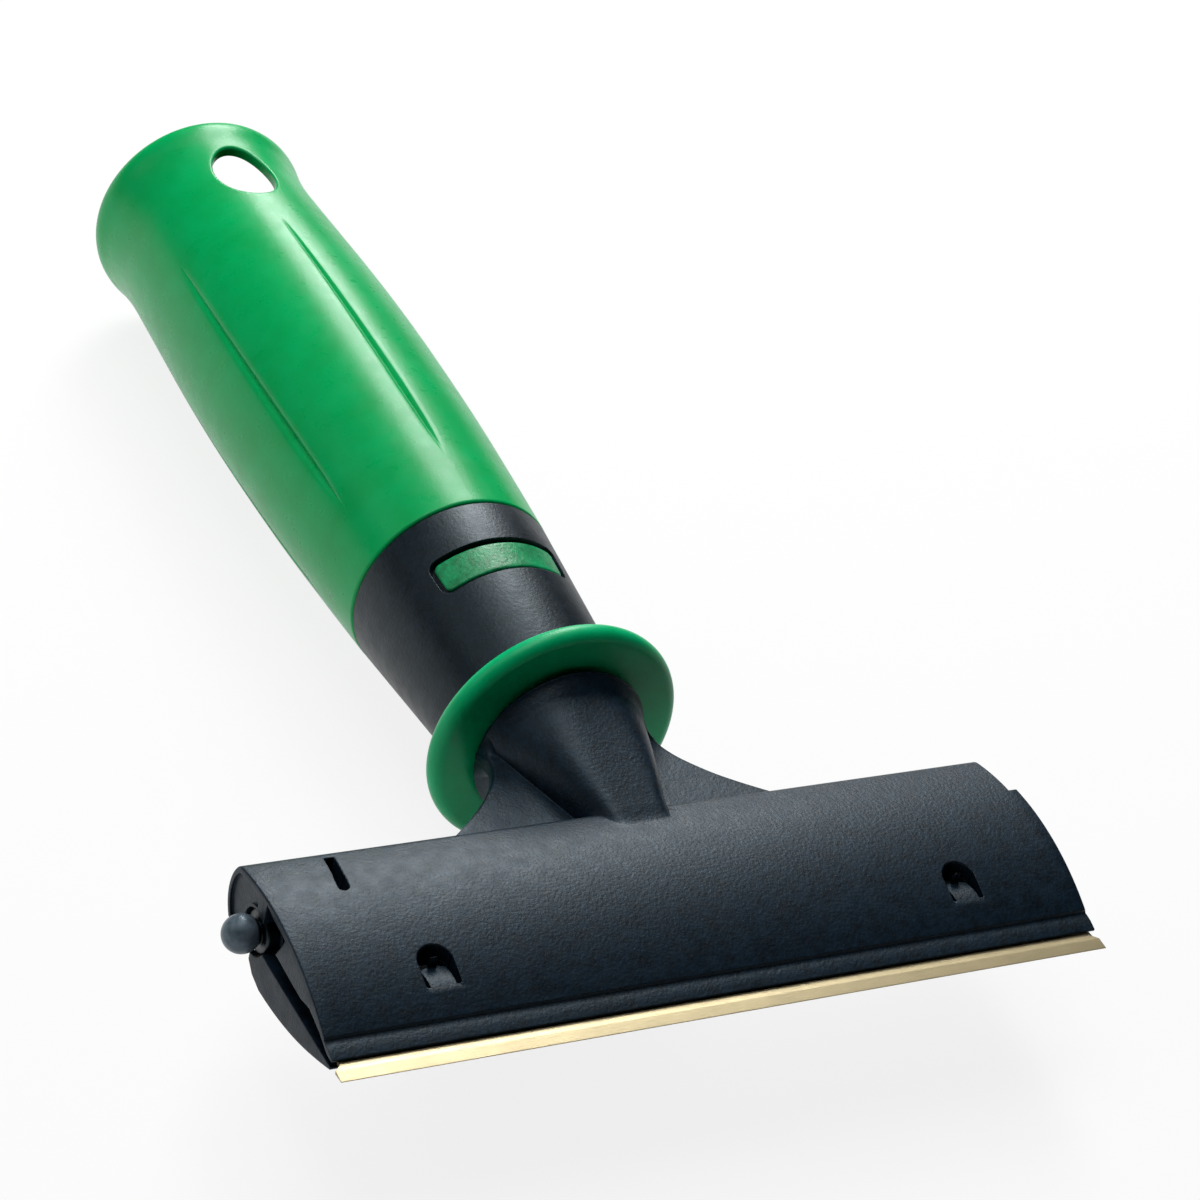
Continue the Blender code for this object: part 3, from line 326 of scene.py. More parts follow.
# Grip sleeve
GRIP_RADIUS = 0.0235
GRIP_WALL = 0.0034
CUP_WALL = 0.0021
GRIP_EDGE_ROUNDING = 0.0006
GROOVE_COUNT = 6
GROOVE_START = 0.0600
GROOVE_END = 0.1420
GROOVE_HALF_WIDTH = 0.0012
GROOVE_DEPTH = 0.0009
GROOVE_POWER = 1.3
GROOVE_OPENING = 4
GROOVE_NARROW = 0.25
GROOVE_END_FADE = 12
GROOVE_STEPS = 6
GROOVE_BETWEEN = 22
EYE_MIDDLE = 0.1610
EYE_LENGTH = 0.0180
EYE_WIDTH = 0.0124
EYE_ROUNDING = 0.0007

# Tang screw
SCREW_RADIUS = 0.0029
SCREW_REACH = 0.0150
INSERT_RADIUS = 0.0042
INSERT_LENGTH = 0.0160

# Clearances and facets
GAP = 0.0003
PIN_GAP = 0.0001
OVERRUN = 0.0020
ROUND = 160
SMALL_ROUND = 64
ARC_STEPS = 48
EDGE_STEPS = 4
SHARP_ANGLE = math.radians(32)
WELD = 2e-6
STATION_REACH = 0.072
STATION_COUNT = 72

# Places along the grip and radii there, as shares of the sleeve's length and of its largest radius
GRIP_PROFILE_SHARES = (
    (0.000, 0.883), (0.115, 0.926), (0.255, 0.970), (0.400, 0.994), (0.520, 1.000),
    (0.630, 0.990), (0.740, 0.967), (0.830, 0.946), (0.890, 0.938), (0.940, 0.956),
    (0.975, 0.986), (0.992, 0.974), (1.000, 0.936),
)

# Places that follow from these
GRIP_LENGTH = GRIP_END - BAND_END
PAST_END = HALF_LENGTH + OVERRUN
ABOVE_HEAD = CROWN_RISE + OVERRUN
LIP_STEP_BACK = LIP_BACK - LIP_DEPTH
SPINE_MIDDLE = (-SPINE_MIDDLE_BACK, SPINE_MIDDLE_RISE)
SPINE_TOP_BACK = SPINE_MIDDLE_BACK - SPINE_TOP_RUN
WEB_FLARE_START = SPINE_TOP_BACK * WEB_FLARE_START_SHARE
WEB_FLARE_END = SPINE_TOP_BACK - WEB_FLARE_INSET
PIN_MIDDLE = (-PIN_BACK, PIN_RISE)
PIN_BORE = PIN_RADIUS + PIN_GAP
CLIP_POSITION = HALF_LENGTH - CLIP_INSET
HOOK_PLACE = HALF_LENGTH - HOOK_INSET
WINDOW_BACK = HOOK_BACK - WINDOW_CLEARANCE
LANDING_START = WINDOW_BACK + LANDING_RUN
LANDING_END = LANDING_START + LANDING_LENGTH

# Where knuckles meet along X. The frame's lie between the first two, the next two, and past the last
LEFT_KNUCKLE = -HALF_LENGTH + END_POCKET_DEPTH
KNUCKLE_EDGES = (
    LEFT_KNUCKLE,
    LEFT_KNUCKLE + END_KNUCKLE_LENGTH,
    -MIDDLE_KNUCKLE_HALF_LENGTH,
    MIDDLE_KNUCKLE_HALF_LENGTH,
    HALF_LENGTH - RIGHT_KNUCKLE_LENGTH,
)


def linked(name, data):
    """A new object with this data, in the scene."""
    thing = bpy.data.objects.new(name, data)
    bpy.context.scene.collection.objects.link(thing)
    return thing


def new_object(name, points, faces):
    """A mesh object whose faces point outwards, with its points moved into the row frame."""
    mesh = bpy.data.meshes.new(name)
    mesh.from_pydata([ORIGIN + Vector(point) for point in points], [], faces)
    shape = bmesh.new()
    shape.from_mesh(mesh)
    bmesh.ops.recalc_face_normals(shape, faces=shape.faces)
    shape.to_mesh(mesh)
    shape.free()
    return linked(name, mesh)


def combined(target, operation, others):
    """Applies a Boolean with each of the others, which are then removed."""
    for other in others:
        modifier = target.modifiers.new(other.name, "BOOLEAN")
        modifier.operation = operation
        modifier.object = other
        modifier.solver = "EXACT"
    graph = bpy.context.evaluated_depsgraph_get()
    mesh = bpy.data.meshes.new_from_object(target.evaluated_get(graph))
    target.modifiers.clear()
    target.data = mesh
    for other in others:
        bpy.data.objects.remove(other, do_unlink=True)
    return target


def cut(target, *others):
    return combined(target, "DIFFERENCE", others)


def join(target, *others):
    return combined(target, "UNION", others)


def shaded(thing, angle=SHARP_ANGLE):
    """Smooth shading with sharp creases, on a mesh without doubled points."""
    shape = bmesh.new()
    shape.from_mesh(thing.data)
    bmesh.ops.remove_doubles(shape, verts=shape.verts, dist=WELD)
    bmesh.ops.dissolve_degenerate(shape, edges=shape.edges, dist=WELD)
    shape.to_mesh(thing.data)
    shape.free()
    thing.data.shade_smooth()
    thing.data.set_sharp_from_angle(angle=angle)
    return thing


def dressed(thing, look, body, slot, *nodes):
    """Gives a finished piece its material and the body it rides on, and hides the CAD nodes it stands in
    for.
    """
    thing.data.materials.clear()
    thing.data.materials.append(look.material)
    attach(thing, body)
    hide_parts(*nodes)
    return thing


def along_x(a, b, t):
    return (t, a, b)


def along_y(a, b, t):
    return (a, t, b)


def along_z(a, b, t):
    return (a, b, t)


def around_handle(t, radius, angle):
    return (radius * math.sin(angle), t, radius * math.cos(angle))


def around_pin(t, radius, angle):
    return (t, -PIN_BACK + radius * math.sin(angle), PIN_RISE + radius * math.cos(angle))


def spread(start, end, steps):
    """Even places from start to end."""
    return [start + (end - start) * i / steps for i in range(steps + 1)]


def part_way(low, high, share):
    return low + (high - low) * share


def quarter(steps=EDGE_STEPS):
    """Points of a quarter round, as shares of its radius: how far along, and how far in."""
    return [(1 - math.cos(angle), 1 - math.sin(angle)) for angle in spread(0, math.pi / 2, steps)]


def even_angles(count):
    return spread(0, 2 * math.pi, count)[:-1]


def lofted(name, rings):
    """A closed solid through rings of equally many points, with a flat face at either end."""
    count = len(rings[0])
    points = [point for ring in rings for point in ring]
    faces = [tuple(range(count)), tuple(range(len(points) - 1, len(points) - count - 1, -1))]
    for low in range(0, len(points) - count, count):
        for i in range(count):
            j = (i + 1) % count
            faces.append((low + i, low + j, low + count + j, low + count + i))
    return new_object(name, points, faces)


def prism(name, outline, start, end, place):
    return lofted(name, [[place(a, b, t) for a, b in outline] for t in (start, end)])


def outward(outline):
    """Unit vectors that point out of a closed outline at its points."""
    pairs = zip(outline, outline[1:] + outline[:1])
    turn = 1 if sum(a[0] * b[1] - b[0] * a[1] for a, b in pairs) > 0 else -1
    found = []
    for i in range(len(outline)):
        before, after = outline[i - 1], outline[(i + 1) % len(outline)]
        side = Vector((after[1] - before[1], before[0] - after[0])) * turn
        found.append(side.normalized())
    return found


def rounded_prism(name, outline, shares, rounding, between=()):
    """A prism as long as the head, its end edges rounded by a share of the rounding at each point.

    Plain rings stand at the places between, so that what is cut or joined there shades well.
    """
    rings = [(-HALF_LENGTH + rounding * along, rounding * inset) for along, inset in quarter()]
    rings += [(t, 0.0) for t in between]
    rings += [(HALF_LENGTH - rounding * along, rounding * inset) for along, inset in reversed(quarter())]
    sides = outward(outline)
    found = []
    for t, inset in rings:
        ring = []
        for (a, b), side, share in zip(outline, sides, shares):
            ring.append((t, a - side.x * inset * share, b - side.y * inset * share))
        found.append(ring)
    return lofted(name, found)


def turned(name, profile, place, angles):
    """A solid turned round an axis from a closed profile, or one that starts and ends on the axis.

    angles is a list, or a function of the profile's point that also gives each point's depth.
    """
    points, rings = [], []
    for t, radius in profile:
        if radius == 0:
            rings.append([len(points)])
            points.append(place(t, 0, 0))
            continue
        ring = angles(t, radius) if callable(angles) else [(angle, 0) for angle in angles]
        rings.append(list(range(len(points), len(points) + len(ring))))
        points += [place(t, radius - depth, angle) for angle, depth in ring]
    pairs = list(zip(rings, rings[1:]))
    if profile[0][1] != 0:
        pairs.append((rings[-1], rings[0]))
    faces = []
    for low, high in pairs:
        count = max(len(low), len(high))
        for i in range(count):
            j = (i + 1) % count
            corners = [low[i % len(low)], low[j % len(low)], high[j % len(high)], high[i % len(high)]]
            faces.append(tuple(dict.fromkeys(corners)))
    return new_object(name, points, faces)


def stepped(name, places, radii, place, sides=SMALL_ROUND):
    """A turned solid that steps from radius to radius at the places."""
    profile = [(places[0], 0)]
    for start, end, radius in zip(places, places[1:], radii):
        profile += [(start, radius), (end, radius)]
    return turned(name, profile + [(places[-1], 0)], place, even_angles(sides))


def arc(centre, radius, start, end, steps=ARC_STEPS):
    """Points of an arc of a circle, in degrees counted from the first axis towards the second."""
    angles = [math.radians(turn) for turn in spread(start, end, steps)]
    return [(centre[0] + radius * math.cos(a), centre[1] + radius * math.sin(a)) for a in angles]


def bowed(start, end, bulge, steps=ARC_STEPS // 2):
    """Points from start to end on a shallow curve that stands out to the right by bulge."""
    run, rise = end[0] - start[0], end[1] - start[1]
    points = []
    for share in spread(0, 1, steps):
        lift = 4 * share * (1 - share) * bulge / math.hypot(run, rise)
        points.append((start[0] + run * share + rise * lift, start[1] + rise * share - run * lift))
    return points


def box(name, low, high):
    outline = [(low[1], low[2]), (high[1], low[2]), (high[1], high[2]), (low[1], high[2])]
    return prism(name, outline, low[0], high[0], along_x)


def rounded_square(side, corner, steps=8):
    half = side / 2 - corner
    outline = []
    for x, y, turn in ((half, half, 0), (-half, half, 90), (-half, -half, 180), (half, -half, 270)):
        outline += arc((x, y), corner, turn, turn + 90, steps)
    return outline


def smooth_profile(steps=10):
    """The grip's outer profile: a smooth curve through the shares, as places and radii."""
    knots = [GRIP_PROFILE_SHARES[0], *GRIP_PROFILE_SHARES, GRIP_PROFILE_SHARES[-1]]
    found = []
    for a, b, c, d in zip(knots, knots[1:], knots[2:], knots[3:]):
        for u in spread(0, 1, steps)[:-1]:
            pair = []
            for p, q, r, s in zip(a, b, c, d):
                bend = (2 * q) + (r - p) * u + (2 * p - 5 * q + 4 * r - s) * u**2
                pair.append((bend + (3 * q - p - 3 * r + s) * u**3) / 2)
            found.append(pair)
    found.append(GRIP_PROFILE_SHARES[-1])
    return [(BAND_END + GRIP_LENGTH * t, GRIP_RADIUS * r) for t, r in found]


GRIP_PROFILE = smooth_profile()


def grip_radius(y):
    for (low, a), (high, b) in zip(GRIP_PROFILE, GRIP_PROFILE[1:]):
        if low <= y <= high:
            return part_way(a, b, (y - low) / (high - low))
    return GRIP_PROFILE[-1][1]


def band_radius(y):
    return part_way(BAND_START_RADIUS, BAND_END_RADIUS, (y - BAND_START) / (BAND_END - BAND_START))


def crown(y):
    """Height of the head's domed top at y."""
    return CROWN_RISE - CROWN_RADIUS + math.sqrt(CROWN_RADIUS**2 - (y + CROWN_BACK) ** 2)


def spine_turn():
    """The arc that rounds the dome into the spine: its middle, and its ends on the dome and the spine."""
    dome, spine = Vector((-CROWN_BACK, CROWN_RISE - CROWN_RADIUS)), Vector(SPINE_MIDDLE)
    far, near = CROWN_RADIUS - SPINE_ROUNDING, SPINE_RADIUS - SPINE_ROUNDING
    apart = (spine - dome).length
    along = (far**2 - near**2 + apart**2) / (2 * apart)
    step = (spine - dome) / apart
    middle = dome + step * along + Vector((step.y, -step.x)) * math.sqrt(far**2 - along**2)
    on_dome = dome + (middle - dome) * CROWN_RADIUS / far
    return middle, on_dome, spine + (middle - spine) * SPINE_RADIUS / near


TURN_MIDDLE, TURN_ON_DOME, TURN_ON_SPINE = spine_turn()


def head_top(y):
    """Height of the head's top at y: the dome, the round spine behind it, or the turn between them."""
    if y <= TURN_ON_DOME.x:
        return crown(y)
    middle, radius = TURN_MIDDLE, SPINE_ROUNDING
    if y > TURN_ON_SPINE.x:
        middle, radius = Vector(SPINE_MIDDLE), SPINE_RADIUS
    across = min(radius, y - middle.x)
    return middle.y + math.sqrt(radius**2 - across**2)


def blade_level(y):
    """Height of the blade's middle plane at y."""
    return EDGE_RISE - (y + BLADE_REACH) * math.tan(BLADE_TILT)


def blade_top(y):
    return blade_level(y) + BLADE_THICKNESS / 2


def blade_bottom(y):
    return blade_level(y) - BLADE_THICKNESS / 2


def lip_outline():
    """Section of the lip: the step below the dome, its front, and its underside at the blade."""
    step_low = crown(-LIP_STEP_BACK) - LIP_STEP
    under_lip = blade_top(-LIP_BACK) + GAP
    outline = [(-LIP_STEP_BACK - LIP_STEP / 4, step_low + LIP_STEP / 8)]
    for share in spread(0, 1, 4)[:-1]:
        y = -LIP_STEP_BACK - LIP_STEP / 2 - (LIP_DEPTH - LIP_STEP / 2) * share
        swell = LIP_STEP / 4 * math.sin(math.pi * share)
        outline.append((y, part_way(step_low, under_lip + LIP_EDGE, share) + swell))
    pinch = -(LIP_STEP_BACK + LIP_BACK) / 2
    outline += [(-LIP_BACK, under_lip + LIP_EDGE), (-LIP_BACK, under_lip), (pinch, blade_top(pinch) + GAP)]
    return outline + [(pinch + LIP_DEPTH, CAVITY_RISE)]


def frame_outline():
    """Section of the head frame, and each point's share of the rounding at the head's ends."""
    dome = [(y, crown(y)) for y in spread(TURN_ON_DOME.x, -LIP_STEP_BACK, ARC_STEPS)]
    under = lip_outline()
    under.append((-(CAVITY_BACK + 2 * LIP_STEP_BACK) / 3, CAVITY_CROWN_RISE))
    under.append((-(CAVITY_BACK + LIP_STEP_BACK) / 2, CAVITY_RISE))
    start = 180 - math.degrees(math.asin((CAVITY_RISE - PIN_RISE) / FRAME_KNUCKLE_RADIUS))
    under += arc(PIN_MIDDLE, FRAME_KNUCKLE_RADIUS, start, KNUCKLE_END_DEGREES, ARC_STEPS // 2)
    under.append((-SPINE_MIDDLE_BACK + HEEL_RUN, -HEEL_DROP))
    low = -math.degrees(math.asin((SPINE_MIDDLE_RISE + HEEL_DROP) / SPINE_RADIUS))
    sides = (TURN_ON_SPINE - TURN_MIDDLE, TURN_ON_DOME - TURN_MIDDLE)
    start, end = (math.degrees(math.atan2(side.y, side.x)) for side in sides)
    spine = arc(SPINE_MIDDLE, SPINE_RADIUS, low, start)
    spine += arc(TURN_MIDDLE, SPINE_ROUNDING, start, end, 16)[1:-1]
    return dome + under + spine, [1.0] * len(dome) + [0.0] * len(under) + [1.0] * len(spine)


def web_half_width(y):
    """Half width of the webs that run from the collar to the spine, with a hollow curved edge."""
    share = (-WEB_FLARE_START - y) / (WEB_FLARE_END - WEB_FLARE_START)
    start = part_way(NECK_RADIUS, WEB_HALF_WIDTH, min(1, -y / WEB_FLARE_START))
    return start + WEB_FLARE * min(1, max(0, share)) ** WEB_FLARE_POWER


def neck_columns(foot, half_width):
    """Places across the neck: close together on the ridge and at the edges, further apart between."""
    one_side = [foot * math.sin(angle) for angle in spread(0, math.pi / 2, RIDGE_COLUMNS)[1:]]
    for angle in spread(0, math.pi / 2, WEB_COLUMNS)[1:]:
        one_side.append(part_way(foot, half_width, math.sin(angle)))
    return [-x for x in reversed(one_side)] + [0] + one_side


def web_fullness(distance, rounding):
    """Share of the web's full height, at a distance in from its rounded edge."""
    inward = min(1, distance / rounding)
    return math.sqrt(inward * (2 - inward))


def neck_top(y, across, share, foot, half_width):
    """Height of the neck's top: a ridge between flat webs, which melts into the head's dome."""
    level = part_way(WEB_EDGE_RISE, WEB_RISE, web_fullness(half_width - across, WEB_TOP_ROUNDING))
    dive = CREST_DIVE * max(0, (share - CREST_DIVE_START) / (1 - CREST_DIVE_START)) ** 2
    crest = part_way(CREST_RISE, CREST_END_RISE, share) - dive
    flat = min(1, share)
    ridge = max(0, 1 - (across / foot) ** (2 + RIDGE_FLATTENING * flat))
    ridge **= part_way(RIDGE_POWER, RIDGE_END_POWER, flat)
    height = part_way(level, crest, ridge)
    under = head_top(y) - MELT_SINK
    melt = part_way(MELT_EDGE, MELT_RIDGE, ridge)
    closeness = max(0, 1 - abs(height - under) / melt)
    return max(height, under) + closeness**2 * melt / 4


def neck_bottom(across, share, foot, half_width):
    """Height of the neck's underside: a keel between webs that thin out to their edges."""
    edge = WEB_EDGE_RISE - WEB_EDGE_THICKNESS
    level = part_way(edge, -WEB_DROP, web_fullness(half_width - across, WEB_BOTTOM_ROUNDING))
    keel = part_way(-KEEL_DROP, -KEEL_END_DROP, share)
    return part_way(level, keel, max(0, 1 - (across / foot) ** 2) ** RIDGE_POWER)


def neck_ring(y, share, inset=0):
    """One closed ring round the neck at y, shrunk by inset at the round shoulder.

    Past the neck's own end, where share is over 1, only its top runs on and melts into the dome.
    """
    half_width = web_half_width(y)
    foot = part_way(RIDGE_HALF_WIDTH, RIDGE_END_HALF_WIDTH, min(1, share))
    blend = min(1, BARREL_FADE * share) ** RIDGE_POWER
    shrink = 1 - inset / NECK_RADIUS
    top, bottom = [], []
    for x in neck_columns(foot, half_width):
        across = abs(x)
        barrel = math.sqrt(max(WEB_EDGE_THICKNESS**2, NECK_RADIUS**2 - across**2))
        high = part_way(barrel, neck_top(y, across, share, foot, half_width), blend)
        low = PIN_RISE
        if share <= 1:
            low = part_way(-barrel, neck_bottom(across, share, foot, half_width), blend)
        top.append((x * shrink, y, high * shrink))
        bottom.append((x * shrink, y, low * shrink))
    return top + bottom[::-1]


def neck():
    """The neck and its webs, lofted from a round shoulder at the collar into the spine."""
    rings = []
    for along, inset in quarter(EDGE_STEPS + 1):
        rings.append(neck_ring(-NECK_START - SHOULDER * along, 0, SHOULDER_ROUNDING * inset))
    start = -NECK_START - SHOULDER
    length = SPINE_TOP_BACK + NECK_OVERLAP + start
    shares = [share**NECK_ROW_POWER for share in spread(0, 1, NECK_ROWS)[1:]]
    shares += spread(1, 1 + MELT_RUN / length, MELT_ROWS)[1:]
    return lofted("neck", rings + [neck_ring(start - length * share, share) for share in shares])


def grown(outline, reach):
    """The outline with each point moved out by reach."""
    return [(a + side.x * reach, b + side.y * reach) for (a, b), side in zip(outline, outward(outline))]


def opening(name, outline, floor, chamfer):
    """A cutter that goes in from above, with a chamfer where it meets the head's top."""
    wide = grown(outline, chamfer + CHAMFER_LIFT)
    rings = [[(x, y, floor) for x, y in outline]]
    rings.append([(x, y, head_top(y) - chamfer) for x, y in outline])
    rings.append([(x, y, head_top(y) + CHAMFER_LIFT) for x, y in wide])
    rings.append([(x, y, ABOVE_HEAD) for x, y in wide])
    return lofted(name, rings)


def window_outline(x, run, bow):
    """The catch window: round at the rear, and at the front an edge that bows back by bow."""
    radius = WINDOW_WIDTH / 2
    edge = [(x + radius * share, -WINDOW_BACK - run - bow * share**2) for share in spread(-1, 1, 16)]
    return arc((x, -WINDOW_BACK - radius), radius, 0, 180, 32) + edge


def landing(low, high):
    """A cutter for the tongue's top: deep at the window, and running out at the head's surface."""
    rear, front = -LANDING_START, -LANDING_END
    wall, floor = rear + 2 * GAP, crown(rear) - LANDING_SINK
    outline = [(wall, floor), (wall, ABOVE_HEAD), (front, ABOVE_HEAD)]
    for share in spread(0, 1, 10)[:-1]:
        swell = GAP * math.sin(math.pi * share)
        outline.append((part_way(front, rear, share), part_way(crown(front), floor, share) + swell))
    return prism("landing", outline, low, high, along_x)


def catch_window(side):
    """Cutters for a catch window: the hook's way, the D above it, and a tongue between two slits."""
    x, half = side * HOOK_PLACE, WINDOW_WIDTH / 2
    way = grown(window_outline(x, WINDOW_DEPTH, 0), -GAP / 6)
    cutters = [prism("hook_way", way, CAVITY_RISE - OVERRUN, TONGUE_UNDERSIDE, along_z)]
    mouth = window_outline(x, TONGUE_RUN, TONGUE_BOW)
    cutters.append(opening("window", mouth, TONGUE_UNDERSIDE - GAP, WINDOW_CHAMFER))
    cutters.append(landing(x - half + GAP / 2, x + half - GAP / 2))
    front, rear = -LANDING_END + TONGUE_GAP, -LANDING_START + 2 * GAP
    for edge in (x - half - GAP / 4, x + half - TONGUE_GAP):
        low = (edge, front, crown(rear) - TONGUE_SLIT_SINK)
        cutters.append(box("slit", low, (edge + TONGUE_GAP + GAP / 4, rear, ABOVE_HEAD)))
    return cutters


def clip_slots():
    """The slot that the pin's clip goes in by: round in front, and shallower towards the spine."""
    half = SLOT_WIDTH / 2
    reach = NECKED_RADIUS + CLIP_LEG + GAP / 2
    front, rear = -PIN_BACK - reach, -PIN_BACK + reach

    def slanted(points):
        return [(x - CLIP_POSITION + SLOT_SLANT * (y + PIN_BACK), y) for x, y in points]

    well = slanted(arc((0, front + half), half, 180, 360, 16) + [(half, rear), (-half, rear)])
    side = half - GAP / 4
    run = spread(front + half, -SLOT_MOUTH_BACK, 16)
    mouth = slanted([(side, y) for y in run] + [(-side, y) for y in reversed(run)])
    mouth_floor = crown(-SPINE_TOP_BACK) - SLOT_MOUTH_DROP
    return [
        opening("clip_well", well, PIN_RISE - CLIP_DROP - GAP, SLOT_CHAMFER),
        opening("clip_mouth", mouth, mouth_floor, SLOT_CHAMFER),
    ]


def frame_hinge_room():
    """Along the pin: the knob's channel, its bore, rooms for the jaw's knuckles, and the plug's room."""
    places = (-PAST_END, *KNUCKLE_EDGES, HALF_LENGTH - SPINE_RIGHT_INSET - PLUG_LENGTH - GAP, PAST_END)
    radii = (KNOB_CHANNEL_RADIUS, *(PIN_BORE, CHANNEL_RADIUS) * 2, PIN_BORE, PLUG_RADIUS)
    return stepped("frame_hinge_room", places, radii, around_pin)


def jaw_hinge_room():
    """Along the pin: a pocket at the knob, the bore, and rooms for the frame's knuckles."""
    edges = [edge + gap for edge, gap in zip(KNUCKLE_EDGES, (-GAP, GAP, -GAP, GAP, -GAP))]
    radii = (JAW_END_POCKET_RADIUS, *(CHANNEL_RADIUS, PIN_BORE) * 2, CHANNEL_RADIUS)
    return stepped("jaw_hinge_room", (-PAST_END, *edges, PAST_END), radii, around_pin)


def end_channel_floor():
    """What the round channel leaves below the knob is cleared too, as far as the jaw."""
    reach = CHANNEL_RADIUS + GAP
    front, rear = -PIN_BACK - reach, -PIN_BACK + CHANNEL_FLOOR_RUN
    outline = [(front, PIN_RISE), (front, -2 * reach), (rear, -2 * reach), (rear, PIN_RISE - reach / 2)]
    return prism("end_channel_floor", outline + [PIN_MIDDLE], -PAST_END, LEFT_KNUCKLE, along_x)


def end_panel():
    """The shallow panel sunk into the spine's left end, between the knob's channel and the rim."""
    outline = arc(SPINE_MIDDLE, SPINE_RADIUS - PANEL_RIM, *PANEL_OUTER_DEGREES, 32)
    outline += [(-back, head_top(-back) - PANEL_RIM) for back in PANEL_PLACES]
    outline += arc(PIN_MIDDLE, KNOB_CHANNEL_RADIUS + PANEL_RIM / 2, *PANEL_INNER_DEGREES, 32)
    return prism("end_panel", outline, -PAST_END, -HALF_LENGTH + PANEL_DEPTH, along_x)


def end_recess():
    """The hollow in the head's left end: shallow round the knob, and deep in front of it."""
    front = -RECESS_FRONT
    top = []
    for share in spread(0, 1, 8):
        y = part_way(-RECESS_BACK, front, share)
        top.append((y, crown(y) - RECESS_RIM + RECESS_RIM / 2 * max(0, 1 - 3 * share)))
    top += [(front + run, rise) for run, rise in RECESS_CORNERS]
    beside = [(front + RECESS_FLOOR_RUN, RECESS_FLOOR_RISE), (-PIN_BACK, RECESS_INNER_RISE)]
    beside.append((-PIN_BACK - KNOB_CHANNEL_RADIUS / 2, RECESS_WALL_RISE))
    wall = arc(PIN_MIDDLE, KNOB_CHANNEL_RADIUS + RECESS_WALL, *RECESS_WALL_DEGREES, 12)
    return [
        prism("end_recess", top + beside, -PAST_END, -HALF_LENGTH + RECESS_DEPTH, along_x),
        prism("end_well", top + wall, -PAST_END, -HALF_LENGTH + RECESS_WELL_DEPTH, along_x),
    ]


def screw_way():
    """The bore for the tang's screw, wider where it holds the insert."""
    places = (SCREW_REACH - OVERRUN, TANG_END - INSERT_LENGTH - GAP, TANG_END + OVERRUN)
    radii = (SCREW_RADIUS + GAP, INSERT_RADIUS + GAP)
    return stepped("screw_way", places, radii, around_handle, SMALL_ROUND // 2)


def head_frame(look):
    """The moulded head: domed shell, neck with webs, boss and tang, and everything cut into them."""
    outline, shares = frame_outline()
    stations = spread(-STATION_REACH, STATION_REACH, STATION_COUNT)
    head = rounded_prism("head_shell", outline, shares, END_ROUNDING, stations)
    start = -NECK_START - NECK_OVERLAP
    boss = stepped("neck_boss", (start, COLLAR_LENGTH), (COLLAR_BORE - GAP,), around_handle, ROUND // 2)
    tang = prism("tang", rounded_square(TANG_SIDE, TANG_CORNER), start - GAP, TANG_END, along_y)
    join(head, neck(), boss, tang)
    cutters = [frame_hinge_room(), end_channel_floor(), end_panel(), *end_recess(), *clip_slots()]
    cutters += catch_window(-1) + catch_window(1)
    step_low = (HALF_LENGTH - SPINE_RIGHT_INSET, -SPINE_INSET_BACK, -COLLAR_RADIUS)
    cutters += [box("right_step", step_low, (PAST_END, 0, COLLAR_RADIUS)), screw_way()]
    cut(head, *cutters)
    return dressed(shaded(head), look, "frame", "head_plastic", "head_frame")


def jaw_outline():
    """Section of the clamp jaw, and each point's share of the rounding at the jaw's ends."""
    rear = -BLADE_REACH + BLADE_DEPTH
    seat_rise = blade_bottom(rear) - GAP
    lip_rise = blade_bottom(-LIP_BACK) - GAP
    keel = (-JAW_KEEL_BACK, -JAW_KEEL_DROP)
    skin = bowed((-LIP_BACK, lip_rise - JAW_EDGE), keel, JAW_BULGE)
    corner = (-JAW_CORNER_BACK, -JAW_CORNER_DROP)
    outline = [(-LIP_BACK, lip_rise), *skin, corner, (-JAW_BACK, -JAW_HEEL_DROP)]
    shares = [0.0] + [min(1.0, i / JAW_THIN_STEPS) for i in range(len(skin))] + [1.0, 1.0, 0.0, 0.0]
    return outline + [(-JAW_BACK, seat_rise), (rear, seat_rise)], shares


def rib_pockets():
    """Hollows moulded into the jaw under the blade, with walls between them and beside the hooks."""
    reach = HOOK_PLACE - HOOK_FOOT_WIDTH / 2 - RIB_WALL
    pitch = (2 * reach + RIB_WALL) / RIB_POCKET_COUNT
    rear = -RIB_POCKET_BACK
    front = rear - RIB_POCKET_WIDTH
    above = blade_bottom(front) + OVERRUN
    outline = [(rear, blade_bottom(rear) - RIB_POCKET_DEPTH), (rear, above), (front, above)]
    outline.append((front, blade_bottom(front) - RIB_POCKET_FRONT_DEPTH))
    pockets = []
    for number in range(RIB_POCKET_COUNT):
        start = number * pitch - reach
        pockets.append(prism("rib_pocket", outline, start, start + pitch - RIB_WALL, along_x))
    return pockets


def hook_pocket(side):
    x, half = side * HOOK_PLACE, HOOK_FOOT_WIDTH / 2 + GAP
    middle, reach = -HOOK_BACK - HOOK_THICKNESS / 2, HOOK_FOOT_DEPTH / 2 + GAP
    floor = blade_bottom(-HOOK_BACK) - 2 * GAP - HOOK_FOOT_HEIGHT
    low = (x - half, middle - reach, floor - GAP)
    return box("hook_pocket", low, (x + half, middle + reach, floor + HOOK_FOOT_HEIGHT + OVERRUN))


